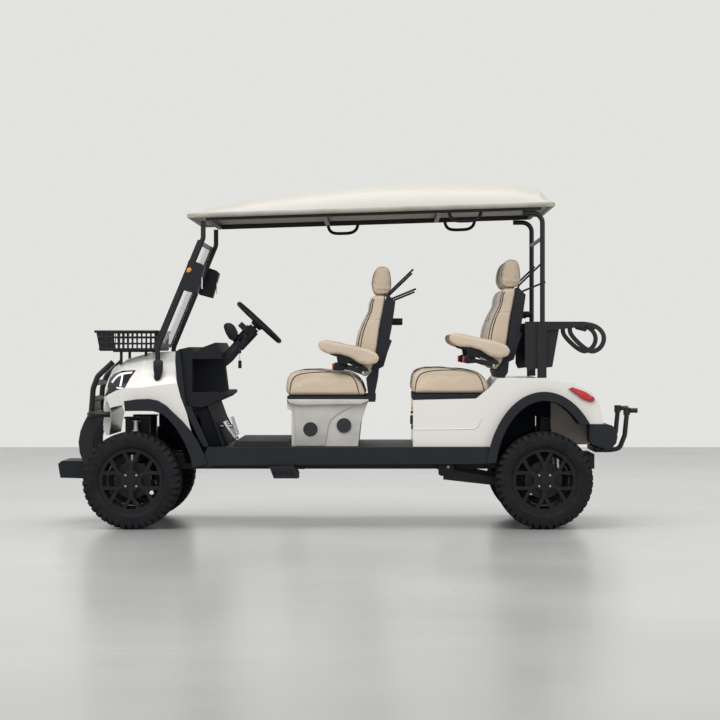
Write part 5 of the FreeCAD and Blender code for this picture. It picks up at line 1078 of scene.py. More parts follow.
@dataclass(frozen=True)
class Belts:
    """The buckle on its stalk and the link beside each outer seat, in metres for the front row."""

    y: float = 0.527
    buckle: Outline = (
        (-0.078, 0.956), (-0.070, 0.998), (-0.052, 1.001), (-0.006, 0.985), (-0.008, 0.952), (-0.060, 0.949))
    stalk: Outline = (
        (-0.012, 0.978), (0.040, 0.972), (0.118, 0.948), (0.120, 0.930), (0.094, 0.926), (0.030, 0.948),
        (-0.012, 0.956))
    brace: Outline = (
        (0.020, 1.004), (0.034, 1.008), (0.130, 0.966), (0.138, 0.944), (0.122, 0.944), (0.020, 0.990))
    buckle_half: float = 0.013
    stalk_half: float = 0.0025
    brace_half: float = 0.004
    button: tuple[Point, Point] = ((-0.084, -0.008, 0.954), (-0.072, 0.008, 0.994))
    button_rounding: float = 0.002
    bolt: tuple[float, float] = (0.104, 0.937)
    bolt_ends: tuple[float, float] = (-0.0275, 0.0085)
    bolt_radius: float = 0.0095
    to_rear_row: tuple[float, float] = (0.787, 0.043)

    def build(self, shop: Workshop) -> None:
        """Make the buckles of both rows on both sides."""
        for corner, side in CORNERS:
            ahead, up = self.to_rear_row if corner.startswith("rear") else (0.0, 0.0)
            place = Matrix.Translation((ahead, 0, up))
            for part, finish, outline, half in (("buckle", "dark_trim_smooth", self.buckle, self.buckle_half),
                                                ("stalk", "frame_steel", self.stalk, self.stalk_half),
                                                ("brace", "frame_steel", self.brace, self.brace_half)):
                span = side.value * (self.y - half), side.value * (self.y + half)
                shop.plate(f"belt_{part}_{corner}", outline, span, half / 3, finish, "dark_trim", place)
            mesh = bmesh.new()
            block(mesh, *self.button, self.button_rounding)
            shop.piece(mesh, f"belt_button_{corner}", "buckle_red",
                       place=Matrix.Translation((ahead, side.value * self.y, up)))
            mesh = bmesh.new()
            x, z = self.bolt
            start, end = (side.value * (self.y + reach) for reach in self.bolt_ends)
            rod(mesh, (x, start, z), (x, end, z), self.bolt_radius, HEXAGON)
            shop.piece(mesh, f"belt_bolt_{corner}", "plated_steel", place=place)


@dataclass(frozen=True)
class Carrier:
    """The open front basket, in metres."""

    front: float = -1.520
    rear: float = -1.156
    half_width: float = 0.446
    low: float = 1.074
    high: float = 1.190
    lean: float = 0.022
    rear_lean_share: float = 0.3
    bar: float = 0.0048
    wall: float = 0.006
    rim: float = 0.0075
    top_drop: float = 0.004
    foot_lift: float = 0.006
    side_slots: int = 12
    end_slots: int = 24
    slot_rows: int = 3
    floor_slots: tuple[int, int] = (10, 20)

    def build(self, shop: Workshop) -> None:
        """Make the lattice walls, the floor and the rims."""
        front, half = self.front + self.lean, self.half_width - self.lean
        corners = [Vector((x, y, self.low)) for x, y in (
            (front, -half), (self.rear, -half), (self.rear, half), (front, half))]
        rise = Vector((0, 0, self.high - self.low))
        mesh = bmesh.new()
        for start, end, out, columns in ((0, 1, (0, -1, 0), self.side_slots),
                                         (1, 2, (self.rear_lean_share, 0, 0), self.end_slots),
                                         (2, 3, (0, 1, 0), self.side_slots), (3, 0, (-1, 0, 0), self.end_slots)):
            lattice(mesh, corners[start], corners[end] - corners[start], rise + Vector(out) * self.lean, columns,
                    self.slot_rows, self.bar, self.wall)
        lattice(mesh, corners[0], (self.rear - front, 0, 0), (0, 2 * half, 0), *self.floor_slots, self.bar * 1.2,
                self.wall)
        item = shop.piece(mesh, "basket_walls", "dark_trim", smooth=30)
        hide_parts("basket")
        for name, z, lean, radius in (("top", self.high - self.top_drop, self.lean, self.rim),
                                      ("foot", self.low + self.foot_lift, 0.0, self.rim * 0.8)):
            mesh = bmesh.new()
            x_low, x_high = front - lean, self.rear + lean * self.rear_lean_share
            grow = Vector((radius, radius, radius))
            y = half + lean
            for low, high in (((x_low, -y, z), (x_high, -y, z)), ((x_low, y, z), (x_high, y, z)),
                              ((x_low, -y, z), (x_low, y, z)), ((x_high, -y, z), (x_high, y, z))):
                block(mesh, Vector(low) - grow, Vector(high) + grow, radius * 0.6)
            shop.piece(mesh, f"basket_{name}_rim", "dark_trim")


@dataclass(frozen=True)
class Lights:
    """The bright strips of the headlamps, the tail lamps' face, and the mirrors' glass and indicators, in metres."""

    brow: tuple[Outline, Outline] = (
        ((-1.424, 0.880), (-1.408, 0.902), (-1.384, 0.925), (-1.345, 0.938), (-1.290, 0.944)),
        ((-1.412, 0.874), (-1.398, 0.894), (-1.378, 0.913), (-1.341, 0.926), (-1.292, 0.933)))
    pillar: tuple[Outline, Outline] = (
        ((-1.357, 0.922), (-1.359, 0.888), (-1.365, 0.856)), ((-1.346, 0.924), (-1.347, 0.888), (-1.353, 0.854)))
    chin: tuple[Outline, Outline] = (
        ((-1.384, 0.852), (-1.350, 0.848), (-1.318, 0.848), (-1.300, 0.885), (-1.286, 0.920)),
        ((-1.382, 0.843), (-1.348, 0.838), (-1.311, 0.838), (-1.291, 0.880), (-1.278, 0.915)))
    strip: float = 0.0022
    tail_face: Outline = (
        (1.356, 0.838), (1.372, 0.842), (1.436, 0.820), (1.476, 0.792), (1.476, 0.780), (1.452, 0.774),
        (1.410, 0.795))
    tail_span: tuple[float, float] = (0.6135, 0.6165)
    indicator: Outline = ((-0.948, 1.536), (-0.944, 1.560), (-0.926, 1.566), (-0.916, 1.554), (-0.926, 1.538))
    indicator_span: tuple[float, float] = (0.6925, 0.7135)
    mirror_y: float = 0.655
    mirror_half: float = 0.042
    mirror_z: tuple[float, float] = (1.44, 1.585)
    mirror_probe: tuple[float, float] = (0.65, 1.5)
    mirror_sunk: float = 0.001
    mirror_proud: float = 0.002

    def build(self, shop: Workshop) -> None:
        """Make the strips, faces and mirror glass on both sides."""
        for side in Side:
            for part, (upper, lower) in (("brow", self.brow), ("pillar", self.pillar), ("chin", self.chin)):
                mesh = shop.patch("headlamps", side, upper, lower, self.strip)
                shop.piece(mesh, f"lamp_{part}_{side.label}", "lamp_strip", smooth=30)
            shop.plate(f"tail_lamp_face_{side.label}", self.tail_face, side.span(self.tail_span), 0.0012,
                       "tail_bright")
            shop.plate(f"mirror_indicator_{side.label}", self.indicator, side.span(self.indicator_span), 0.002,
                       "amber_lens")
            y, z = self.mirror_probe
            rear = shop.surface("mirrors", (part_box("mirrors")[1][0] + 0.3, side.value * y, z), (-1, 0, 0)).x
            middle = side.value * self.mirror_y
            mesh = bmesh.new()
            block(mesh, (rear - self.mirror_sunk, middle - self.mirror_half, self.mirror_z[0]),
                  (rear + self.mirror_proud, middle + self.mirror_half, self.mirror_z[1]), 0.0009)
            shop.piece(mesh, f"mirror_face_{side.label}", "mirror_glass")


@dataclass(frozen=True)
class BodyTrim:
    """Small trim on the outside of the body, in metres."""

    crease: Outline = (
        (0.412, 0.597), (0.60, 0.5985), (0.745, 0.601), (0.775, 0.606), (0.794, 0.622), (0.812, 0.662))
    crease_sunk: float = 0.0012
    crease_radius: float = 0.0042
    foot_cover: Outline = (
        (-1.157, 1.004), (-1.150, 1.014), (-1.108, 1.014), (-1.098, 1.002), (-1.100, 0.950), (-1.112, 0.906),
        (-1.127, 0.893), (-1.143, 0.904), (-1.156, 0.950))
    foot_span: tuple[float, float] = (0.566, 0.596)
    pod_panel: Outline = (
        (-0.350, 0.758), (-0.336, 0.741), (-0.316, 0.733), (-0.305, 0.494), (-0.126, 0.494), (-0.113, 0.590),
        (-0.098, 0.642), (-0.070, 0.672), (-0.020, 0.705), (0.050, 0.736), (0.118, 0.758))
    pod_span: tuple[float, float] = (0.479, 0.4885)
    flare_bolts: Outline = (
        (-1.185, 0.762), (-1.045, 0.652), (-0.955, 0.528), (-0.858, 0.412), (0.905, 0.56), (1.000, 0.725),
        (1.190, 0.803), (1.380, 0.712))
    flare_bolt: float = 0.0085
    kick_face: float = 0.4035

    def build(self, shop: Workshop) -> None:
        """Make the trim of both sides."""
        for side in Side:
            points = shop.laid("rear_body", side, finer(self.crease, 4), -self.crease_sunk)
            shop.adopt(shop.tube(points, self.crease_radius), f"body_crease_{side.label}", "body_paint")
            shop.plate(f"pillar_cover_{side.label}", self.foot_cover, side.span(self.foot_span), 0.007)
            shop.plate(f"seat_pod_panel_{side.label}", self.pod_panel, side.span(self.pod_span), 0.004,
                       "beige_plastic")
            mesh = bmesh.new()
            for spot in shop.laid("wheel_flares", side, self.flare_bolts):
                if abs(spot.y) < MISSED:
                    rod(mesh, spot - side.out(0.002), spot + side.out(0.0016), self.flare_bolt, 16)
            shop.piece(mesh, f"flare_bolts_{side.label}", "frame_steel", slot="dark_trim")
        self.switches(shop)

    def switches(self, shop: Workshop) -> None:
        """Make the reflector and the switch on the front face of the rear seats' base."""
        face = self.kick_face
        mesh = bmesh.new()
        rod(mesh, (face, -0.555, 0.731), (0.393, -0.555, 0.731), 0.0135, 24)
        shop.piece(mesh, "kick_reflector", "amber_lens")
        mesh = bmesh.new()
        block(mesh, (0.386, -0.572, 0.628), (face, -0.542, 0.682), 0.004)
        rod(mesh, (face, -0.557, 0.700), (0.389, -0.557, 0.700), 0.0075, 16)
        block(mesh, (0.392, -0.566, 0.598), (face, -0.548, 0.626), 0.003)
        shop.piece(mesh, "kick_switch", "dark_trim_smooth")


@dataclass(frozen=True)
class StepRibs:
    """The grip ribs on top of each step and the pads on its outer face, in metres."""

    start: float = -0.455
    end: float = -0.287
    count: int = 7
    y: float = 0.62
    half: tuple[float, float] = (0.006, 0.035)
    sunk: float = 0.002
    proud: float = 0.004
    pad_start: float = -0.424
    pad_pitch: float = 0.034
    pads: int = 4
    pad_half: float = 0.010
    pad_z: tuple[float, float] = (0.328, 0.362)
    pad_proud: float = 0.003
    pad_sunk: float = 0.0005

    def build(self, shop: Workshop) -> None:
        """Make the ribs and pads of both steps as one piece."""
        mesh = bmesh.new()
        for side in Side:
            y = side.value * self.y
            for index in range(self.count):
                x = self.start + (self.end - self.start) * (index + 0.5) / self.count
                top = shop.surface("steps", (x, y, 0.5), (0, 0, -1)).z
                block(mesh, (x - self.half[0], y - self.half[1], top - self.sunk),
                      (x + self.half[0], y + self.half[1], top + self.proud), 0.0018)
            for index in range(self.pads):
                x = self.pad_start + self.pad_pitch * index
                face = shop.surface("steps", (x, side.value * OUTSIDE, sum(self.pad_z) / 2), -side.out(1)).y
                ends = sorted((face, face + side.value * self.pad_proud))
                block(mesh, (x - self.pad_half, ends[0] - self.pad_sunk, self.pad_z[0]),
                      (x + self.pad_half, ends[1] + self.pad_sunk, self.pad_z[1]), 0.0012)
        shop.piece(mesh, "step_ribs", "grip")


@dataclass(frozen=True)
class Liners:
    """Inner walls by the wheels and feet, the trailing arms' hangers and the seat trays' lips, in metres."""

    front_wall: Outline = (
        (-1.150, 0.702), (-1.060, 0.676), (-0.985, 0.610), (-0.938, 0.520), (-0.912, 0.410), (-0.914, 0.380),
        (-0.985, 0.380), (-1.010, 0.470), (-1.075, 0.560), (-1.150, 0.590))
    rear_wall: Outline = (
        (0.905, 0.405), (0.915, 0.520), (0.950, 0.620), (1.010, 0.700), (1.090, 0.748), (1.150, 0.760),
        (1.150, 0.600), (1.060, 0.560), (1.000, 0.480), (0.975, 0.405))
    rear_crown: Outline = ((1.146, 0.770), (1.146, 0.672), (1.246, 0.672), (1.246, 0.765), (1.200, 0.774))
    rear_panel: Outline = (
        (1.242, 0.766), (1.242, 0.600), (1.275, 0.520), (1.340, 0.498), (1.476, 0.500), (1.480, 0.600),
        (1.430, 0.680), (1.360, 0.735), (1.300, 0.760))
    kick: Outline = (
        (-0.884, 0.760), (-0.832, 0.742), (-0.768, 0.616), (-0.708, 0.500), (-0.840, 0.494), (-0.872, 0.600))
    tray_lip: Outline = (
        (-0.359, 0.777), (0.134, 0.777), (0.136, 0.766), (0.090, 0.748), (-0.280, 0.742), (-0.342, 0.754))
    arm_hanger: Outline = (
        (0.560, 0.405), (0.560, 0.318), (0.572, 0.308), (0.652, 0.302), (0.662, 0.318), (0.650, 0.405))
    rounding: float = 0.002
    bolt: tuple[float, float] = (0.6195, 0.362)
    bolt_span: tuple[float, float] = (0.386, 0.394)
    bolt_radius: float = 0.0095

    def build(self, shop: Workshop) -> None:
        """Make the plates and bolts of both sides."""
        x, z = self.bolt
        for side in Side:
            for part, finish, outline, span in (
                    ("front_arch_wall", "deep_trim", self.front_wall, (0.2795, 0.2865)),
                    ("rear_arch_wall", "deep_trim", self.rear_wall, (0.3832, 0.3898)),
                    ("rear_arch_crown", "deep_trim", self.rear_crown, (0.3832, 0.3896)),
                    # The rear arch's panel carries painted shade: the white body's inner surface as it looks in
                    # shade.
                    ("rear_arch_panel", "guard_liner", self.rear_panel, (0.3925, 0.3985)),
                    ("kick_panel", "deep_trim", self.kick, (0.530, 0.546)),
                    ("arm_hanger", "frame_steel", self.arm_hanger, (0.3806, 0.3870)),
                    ("seat_pod_lip", "beige_plastic", self.tray_lip, (0.5065, 0.5125))):
                shop.plate(f"{part}_{side.label}", outline, side.span(span), self.rounding, finish)
            mesh = bmesh.new()
            start, end = side.span(self.bolt_span)
            rod(mesh, (x, start, z), (x, end, z), self.bolt_radius, HEXAGON)
            shop.piece(mesh, f"arm_bolt_{side.label}", "copper_bolt", smooth=30)


@dataclass(frozen=True)
class RoofTrim:
    """The rounded rim round the roof and the grab handles, in metres."""

    radius: float = 0.0165
    inset: float = 0.009
    height: float = 0.013
    corner: float = 0.03
    stations: int = 12
    end_half: float = 0.575
    end_shares: tuple[float, ...] = (-0.94, -0.9, -0.5, 0.0, 0.5, 0.9, 0.94)
    grip: float = 0.0105
    handle: Outline = (
        (0.010, 0.062), (0.014, 0.040), (0.034, 0.018), (0.065, 0.0108), (0.107, 0.0105), (0.149, 0.0108),
        (0.178, 0.020), (0.198, 0.042), (0.202, 0.066))

    def rim_line(self, shop: Workshop) -> list[Vector]:
        """Give the rim's line: down the left side, across the rear, back up the right side, across the front."""
        (front, _, low), (rear, _, _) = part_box("roof_shell")
        length = rear - front - 2 * self.corner
        spans = [front + self.corner + length * index / self.stations for index in range(self.stations + 1)]
        line = []
        for side, places, end in ((Side.LEFT, spans, rear), (Side.RIGHT, spans[::-1], front)):
            for x in places:
                z = low + ROOF_SLOPE * (x - front) + self.height
                edge = shop.surface("roof_shell", (x, side.value * OUTSIDE, z), -side.out(1))
                line.append(edge - side.out(self.inset))
            way = side.value
            for share in self.end_shares:
                z = low + ROOF_SLOPE * (end - front) + self.height
                start = (end - way * 0.5, -side.value * self.end_half * share, z)
                line.append(shop.surface("roof_shell", start, (way, 0, 0)) + Vector((way * self.inset, 0, 0)))
        return line

    def build(self, shop: Workshop) -> None:
        """Make the rim and the handles."""
        shop.adopt(shop.tube(self.rim_line(shop), self.radius, closed=True), "roof_rim", "roof_edge")
        for index, solid in enumerate(shop.solids_of("roof_handles")):
            low, high = extent(solid.verts)
            solid.free()
            middle = low.y + (high.y - low.y) / 2
            points = [(low.x + x, middle, low.z + z + ROOF_SLOPE * x) for x, z in self.handle]
            item = shop.adopt(shop.tube(points, self.grip), f"grab_handle_{index + 1}", "grip", slot="dark_trim")
            if index == 0:
                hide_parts("roof_handles")


@dataclass(frozen=True)
class Controls:
    """The display pod, cover, stalk and key of the steering column, and the pedals' pads, in metres."""

    pod: Outline = (
        (-0.752, 1.218), (-0.744, 1.236), (-0.716, 1.242), (-0.690, 1.226), (-0.668, 1.186), (-0.664, 1.150),
        (-0.690, 1.128), (-0.716, 1.140), (-0.738, 1.176))
    pod_half: float = 0.055
    cover: Outline = (
        (-0.802, 0.952), (-0.776, 0.944), (-0.700, 1.004), (-0.640, 1.078), (-0.604, 1.122), (-0.640, 1.152),
        (-0.690, 1.100), (-0.770, 1.010))
    cover_half: float = 0.042
    pad: Outline = (
        (-0.757, 0.632), (-0.745, 0.642), (-0.733, 0.636), (-0.674, 0.548), (-0.672, 0.532), (-0.686, 0.527))
    pad_spans: tuple[tuple[str, tuple[float, float]], ...] = (
        ("brake", (-0.405, -0.321)), ("drive", (-0.279, -0.195)))
    pad_top: Point = (-0.7375, 0, 0.626)
    pad_run: Point = (0.0585, 0, -0.088)
    pad_ribs: int = 6
    rib_radius: float = 0.0042
    rib_inset: float = 0.008

    def build(self, shop: Workshop) -> None:
        """Make the pieces."""
        middle = sum(corner[1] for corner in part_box("steering_wheel")) / 2
        shop.plate("display_pod", self.pod, (middle - self.pod_half, middle + self.pod_half), 0.010)
        shop.plate("column_cover", self.cover, (middle - self.cover_half, middle + self.cover_half), 0.012,
                   "dark_trim")
        mesh = bmesh.new()
        rod(mesh, (-0.655, middle - 0.03, 1.130), (-0.622, middle - 0.165, 1.160), 0.006, 16, 0.0075)
        rod(mesh, (-0.622, middle - 0.165, 1.160), (-0.614, middle - 0.195, 1.167), 0.0085, 16, 0.007)
        shop.piece(mesh, "turn_stalk", "dark_trim_smooth")
        self.key(shop, middle)
        self.pedal_pads(shop)

    def key(self, shop: Workshop, middle: float) -> None:
        """Make the key in its switch, with the tag that hangs from it."""
        mesh = bmesh.new()
        rod(mesh, (-0.650, middle - 0.040, 1.084), (-0.650, middle - 0.058, 1.078), 0.011, 20)
        block(mesh, (-0.661, middle - 0.072, 1.054), (-0.641, middle - 0.058, 1.084), 0.003)
        shop.piece(mesh, "key_switch", "dark_trim_smooth")
        points = [(-0.651, middle - 0.066, 1.056), (-0.652, middle - 0.067, 1.030), (-0.649, middle - 0.067, 1.008)]
        shop.adopt(shop.tube(points, 0.0022), "key_tag_link", "plated_steel")
        mesh = bmesh.new()
        block(mesh, (-0.660, middle - 0.072, 0.962), (-0.639, middle - 0.062, 1.010), 0.004)
        shop.piece(mesh, "key_tag", "grip")

    def pedal_pads(self, shop: Workshop) -> None:
        """Make the two pedals' pads and their ribs."""
        for name, (start, end) in self.pad_spans:
            shop.plate(f"{name}_pedal_pad", self.pad, (start, end), 0.005, "plated_steel")
            mesh = bmesh.new()
            for index in range(self.pad_ribs):
                at = Vector(self.pad_top) + Vector(self.pad_run) * ((index + 0.5) / self.pad_ribs)
                rod(mesh, at + Vector((0, start + self.rib_inset, 0)), at + Vector((0, end - self.rib_inset, 0)),
                    self.rib_radius, 8)
            shop.piece(mesh, f"{name}_pedal_ribs", "grip")


@dataclass(frozen=True)
class BagStraps:
    """The two webbing loops behind the rack with their buckles, in metres."""

    loop: Outline = (
        (1.400, 1.233), (1.460, 1.236), (1.528, 1.220), (1.570, 1.180), (1.577, 1.130), (1.552, 1.083),
        (1.505, 1.061), (1.466, 1.078), (1.424, 1.112), (1.385, 1.152), (1.362, 1.190), (1.368, 1.222))
    y: float = 0.300
    sway: float = 0.012
    sway_turn: float = 0.9
    half_width: float = 0.0145
    flat: float = 0.16
    buckle: Outline = (
        (1.436, 1.246), (1.506, 1.232), (1.522, 1.206), (1.510, 1.190), (1.452, 1.204), (1.430, 1.222))
    buckle_span: tuple[float, float] = (0.292, 0.316)

    def build(self, shop: Workshop) -> None:
        """Make each strap."""
        for side in Side:
            points = [(x, side.value * (self.y + self.sway * math.sin(index * self.sway_turn)), z)
                      for index, (x, z) in enumerate(self.loop)]
            item = shop.adopt(shop.tube(points, self.half_width, flat=self.flat), f"strap_{side.label}", "strap_web")
            if side is Side.LEFT:
                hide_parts("bag_straps")
            shop.plate(f"strap_buckle_{side.label}", self.buckle, side.span(self.buckle_span), 0.003)


@dataclass(frozen=True)
class Tyre:
    """An all-terrain tyre of blocks on a round carcass, in metres."""

    carcass: float = 0.2825
    outer: float = 0.292
    half_tread: float = 0.104
    half_width: float = 0.120
    bead: float = 0.181
    half_bead: float = 0.094
    pitches: int = 42
    steps: int = 96
    lug_inset: float = 0.0022

    def profile(self) -> list[tuple[float, float]]:
        """Give the carcass section as (along the axle, radius) points, closed through the bead."""
        wall = [(self.half_width - inset, radius) for inset, radius in (
            (0.004, 0.262), (0.0005, 0.244), (0.0, 0.230), (0.0005, 0.2255), (-0.0015, 0.223), (0.002, 0.2205),
            (0.003, 0.212), (0.008, 0.204), (0.012, 0.1995))]
        half = [(0.0, self.carcass), (0.05, self.carcass - 0.0006), (self.half_tread - 0.014, self.carcass - 0.003),
                (self.half_tread + 0.001, self.carcass - 0.011), *wall, (self.half_bead + 0.004, 0.196),
                (self.half_bead, self.bead), (self.half_bead - 0.012, self.bead + 0.004),
                (self.half_width - 0.018, 0.23), (0.08, 0.268)]
        return half + [(-along, radius) for along, radius in reversed(half[1:])]

    def build(self, shop: Workshop) -> None:
        """Make the four tyres."""
        for wheel, _ in CORNERS:
            low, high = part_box(f"tyre_{wheel}")
            centre = (Vector(low) + Vector(high)) / 2
            mesh = bmesh.new()
            turned(mesh, self.profile(), centre, self.steps)
            item = shop.piece(mesh, f"tyre_carcass_{wheel}", "tyre_rubber", f"wheel_{wheel}")
            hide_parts(f"tyre_{wheel}")
            mesh = bmesh.new()
            for pitch in range(self.pitches):
                self.pitch(mesh, centre, math.tau * pitch / self.pitches, pitch % 2)
            shop.piece(mesh, f"tyre_blocks_{wheel}", "tyre_rubber", f"wheel_{wheel}", smooth=25)

    def pitch(self, mesh: BMesh, centre: Vector, angle: float, odd: int) -> None:
        """Add the shoulder, wall and middle blocks of one pitch round the tyre; every other pitch reaches further."""
        step = math.tau * self.outer / self.pitches
        reach = 0.001 if odd else -0.005
        shoulder = ((0.058, self.carcass - 0.004, self.outer),
                    (self.half_tread - 0.004, self.carcass - 0.006, self.outer - 0.001),
                    (self.half_tread + 0.006, self.carcass - 0.016, self.outer - 0.007),
                    (self.half_width + reach, 0.250 - 0.008 * odd, 0.262))
        wall = ((self.half_width - 0.006, 0.232 + 0.004 * odd, 0.2475), (self.half_width + 0.0022, 0.2345, 0.246))
        middle = ((0.006, self.carcass - 0.004, self.outer), (0.048, self.carcass - 0.004, self.outer))
        for side in Side:
            shift = 0.0 if side is Side.LEFT else step / 2
            for stations, ahead, length, skew in ((shoulder, 0.0, 0.66, 0.004), (wall, 0.5, 0.5, 0.002),
                                                  (middle, 0.3 + 0.1 * odd, 0.62, 0.013)):
                self.lug(mesh, centre, angle, side, stations, shift + step * ahead, step * length, skew)

    def lug(self, mesh: BMesh, centre: Vector, angle: float, side: Side,
            stations: Sequence[tuple[float, float, float]], shift: float, length: float, skew: float) -> None:
        """Add one block, wrapped round the tyre.

        Args:
            mesh: the bmesh to add to.
            centre: the tyre's centre.
            angle: the pitch's angle.
            side: the tyre's side.
            stations: the block's sections, each as (along the axle, foot radius, top radius).
            shift: how far the block sits round the tread from the pitch's angle.
            length: its length round the tread.
            skew: how far each next section is moved round the tread.
        """
        rings = []
        for index, (along, foot, top) in enumerate(stations):
            ring = []
            for start, radius, inset in ((-0.5, foot, 0.0), (-0.5, top, self.lug_inset), (0.5, top, -self.lug_inset),
                                         (0.5, foot, 0.0)):
                turn = angle + (shift + skew * index + start * length + inset) / self.outer
                ring.append(mesh.verts.new(centre + Vector((math.sin(turn) * radius, side.value * along,
                                                            math.cos(turn) * radius))))
            rings.append(ring)
        for first, second in zip(rings, rings[1:]):
            for a in range(4):
                b = (a + 1) % 4
                mesh.faces.new((first[a], first[b], second[b], second[a]))
        mesh.faces.new(rings[0][::-1])
        mesh.faces.new(rings[-1])


@dataclass(frozen=True)
class WheelTrim:
    """Copper nuts on each rim, in metres."""

    nut_circle: float = 0.046
    nut_radius: float = 0.007052
    nuts: int = 4
    sunk: float = 0.002
    proud: float = 0.005

    def build(self, shop: Workshop) -> None:
        """Dress the four rims."""
        for wheel, side in CORNERS:
            low, high = (Vector(point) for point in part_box(f"rim_{wheel}"))
            outer = low.y if side is Side.LEFT else high.y
            mesh = bmesh.new()
            for index in range(self.nuts):
                angle = math.tau * (index + 0.5) / self.nuts
                spot = (low + high) / 2 + Vector((math.cos(angle), 0, math.sin(angle))) * self.nut_circle
                face = shop.surface(f"rim_{wheel}", (spot.x, outer + side.value * 0.2, spot.z), -side.out(1))
                rod(mesh, face - side.out(self.sunk), face + side.out(self.proud), self.nut_radius, HEXAGON)
            shop.piece(mesh, f"lug_nuts_{wheel}", "copper_bolt", f"wheel_{wheel}", smooth=30)


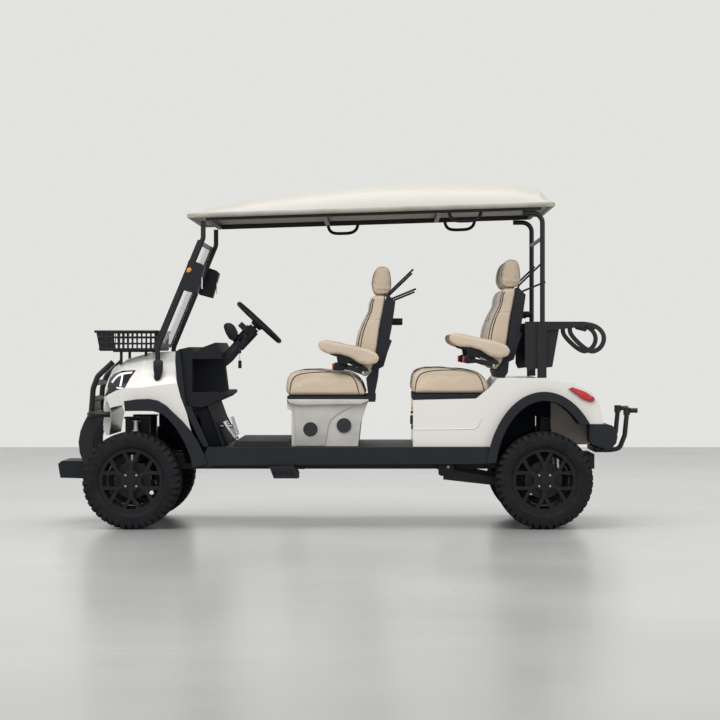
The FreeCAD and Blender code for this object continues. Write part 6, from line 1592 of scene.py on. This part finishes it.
class Studio:
    """A plain pale room with soft light, and the camera that took the photograph."""

    EYE = (0.247, -15.5, 1.086)
    LENS = 124.15
    SENSOR = 36
    PHOTO_SIZE = 720
    SHIFT = (-27, -12)
    FLOOR_EDGE = 11.7
    BACKDROP = (0.765, 0.768, 0.745)
    SKY = (0.96, 0.98, 1.0)
    SKY_STRENGTH = 0.56
    LAMPS = (("key", (-2.5, -5.5, 7.5), (0.0, 0, 0.7), 7.0, 470),
             ("top", (0.8, 2.0, 8.0), (0.2, 0.4, 0.6), 8.0, 530),
             ("fill", (6.5, -6.5, 3.5), (0.3, 0, 0.7), 4.0, 120))

    def build(self) -> None:
        """Make the floor, the backdrop, the lights and the camera."""
        scene = bpy.context.scene
        scene.view_settings.view_transform = "Standard"
        self.floor()
        scene.world = self.backdrop()
        for lamp in self.LAMPS:
            self.lamp(*lamp)
        camera = bpy.data.objects.new("camera", bpy.data.cameras.new("camera"))
        scene.collection.objects.link(camera)
        camera.data.lens = self.LENS
        camera.data.sensor_width = self.SENSOR
        camera.data.shift_x, camera.data.shift_y = (pixels / self.PHOTO_SIZE for pixels in self.SHIFT)
        camera.location = self.EYE
        camera.rotation_euler = (math.pi / 2, 0, 0)
        camera.data.clip_end = 200
        scene.camera = camera

    def backdrop(self) -> bpy.types.World:
        """Give a world that lights softly and shows as a pale wall."""
        world = bpy.data.worlds.new("studio")
        world.use_nodes = True
        tree = world.node_tree
        lit = tree.nodes["Background"]
        lit.inputs["Color"].default_value = (*self.SKY, 1)
        lit.inputs["Strength"].default_value = self.SKY_STRENGTH
        shown = tree.nodes.new("ShaderNodeBackground")
        shown.inputs["Color"].default_value = (*self.BACKDROP, 1)
        path = tree.nodes.new("ShaderNodeLightPath")
        seen = path.outputs["Is Camera Ray"]
        for ray in ("Is Glossy Ray", "Is Transmission Ray"):
            either = tree.nodes.new("ShaderNodeMath")
            either.operation = "MAXIMUM"
            tree.links.new(seen, either.inputs[0])
            tree.links.new(path.outputs[ray], either.inputs[1])
            seen = either.outputs["Value"]
        mix = tree.nodes.new("ShaderNodeMixShader")
        tree.links.new(seen, mix.inputs["Fac"])
        tree.links.new(lit.outputs["Background"], mix.inputs[1])
        tree.links.new(shown.outputs["Background"], mix.inputs[2])
        tree.links.new(mix.outputs["Shader"], tree.nodes["World Output"].inputs["Surface"])
        return world

    def floor(self) -> None:
        """Add the polished floor."""
        mesh = bmesh.new()
        bmesh.ops.create_grid(mesh, x_segments=1, y_segments=1, size=self.FLOOR_EDGE)
        data = bpy.data.meshes.new("studio_floor")
        mesh.to_mesh(data)
        mesh.free()
        item = bpy.data.objects.new("studio_floor", data)
        bpy.context.scene.collection.objects.link(item)
        shader = Shader("studio_floor", Specular_IOR_Level=0.5)
        shader.colour(shader.noise(0.5, 3.0), (0.40, 0.405, 0.39), (0.45, 0.455, 0.44))
        shader.roughness(shader.noise(0.9, 4.0), 0.18, 0.32)
        data.materials.append(shader.material)

    def lamp(self, name: str, spot: Point, target: Point, size: float, power: float) -> None:
        """Add a soft area light that looks at a point."""
        light = bpy.data.lights.new(name, "AREA")
        light.shape = "SQUARE"
        light.size = size
        light.energy = power
        item = bpy.data.objects.new(name, light)
        bpy.context.scene.collection.objects.link(item)
        item.location = spot
        item.rotation_euler = (Vector(target) - Vector(spot)).to_track_quat("-Z", "Y").to_euler()


CORNER_NAMES = [name for name, _ in CORNERS]
FINISH_OF_NODES = {
    "body_paint": ("front_cowl", "rear_body", "front_bumper"),
    "roof_paint": ("roof_shell",),
    "deep_trim": ("wheel_liners",),
    "dash_trim": ("dashboard",),
    "dark_trim": ("cowl_trim", "rocker_panels", "wheel_flares", "floor_pan", "basket",
                  "steps", "steering_column", "mirrors", "rear_bumper", "seat_trays", "battery", "seat_shells"),
    "frame_steel": ("chassis_frame", "brush_guard", "suspension_arms", "knuckle_left", "knuckle_right", "tie_rod",
                    "front_pillars", "rear_struts", "bag_rack", "bag_rest", "roof_frame", "rear_axle",
                    "windscreen_frame", "basket_mount"),
    "plated_steel": ("shock_absorbers", "pedals"),
    "rim_black": tuple(f"rim_{name}" for name in CORNER_NAMES),
    "mat_rubber": ("floor_mat",),
    "dark_trim_smooth": tuple(f"armrest_{name}" for name in CORNER_NAMES),
    "headliner": ("roof_liner",),
    "beige_plastic": ("front_seat_base",),
    "lamp_lens": ("headlamps",),
    "tail_lens": ("tail_lamps",),
    "screen_glass": ("windscreen",),
    "strap_web": ("bag_straps",),
    "grip": ("roof_handles", "steering_wheel"),
    "speaker_mesh": ("speakers",),
    "upholstery": ("seat_cushions", "seat_backs", "headrests"),
    "tyre_rubber": tuple(f"tyre_{name}" for name in CORNER_NAMES),
}


def main() -> None:
    """Build the scene's sub-assemblies in order."""
    logging.basicConfig(level=logging.INFO, format="%(message)s")
    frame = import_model()
    shop = Workshop(frame, Finishes())
    for finish, nodes in FINISH_OF_NODES.items():
        shop.dress(finish, *nodes)
    Studio().build()
    for assembly in (Tyre(), WheelTrim(), Seating(), ArmPads(), Belts(), Carrier(), Lights(), BodyTrim(),
                     StepRibs(), Liners(), RoofTrim(), Controls(), BagStraps()):
        LOG.info("%s", type(assembly).__name__)
        assembly.build(shop)


if __name__ == "__main__":
    main()
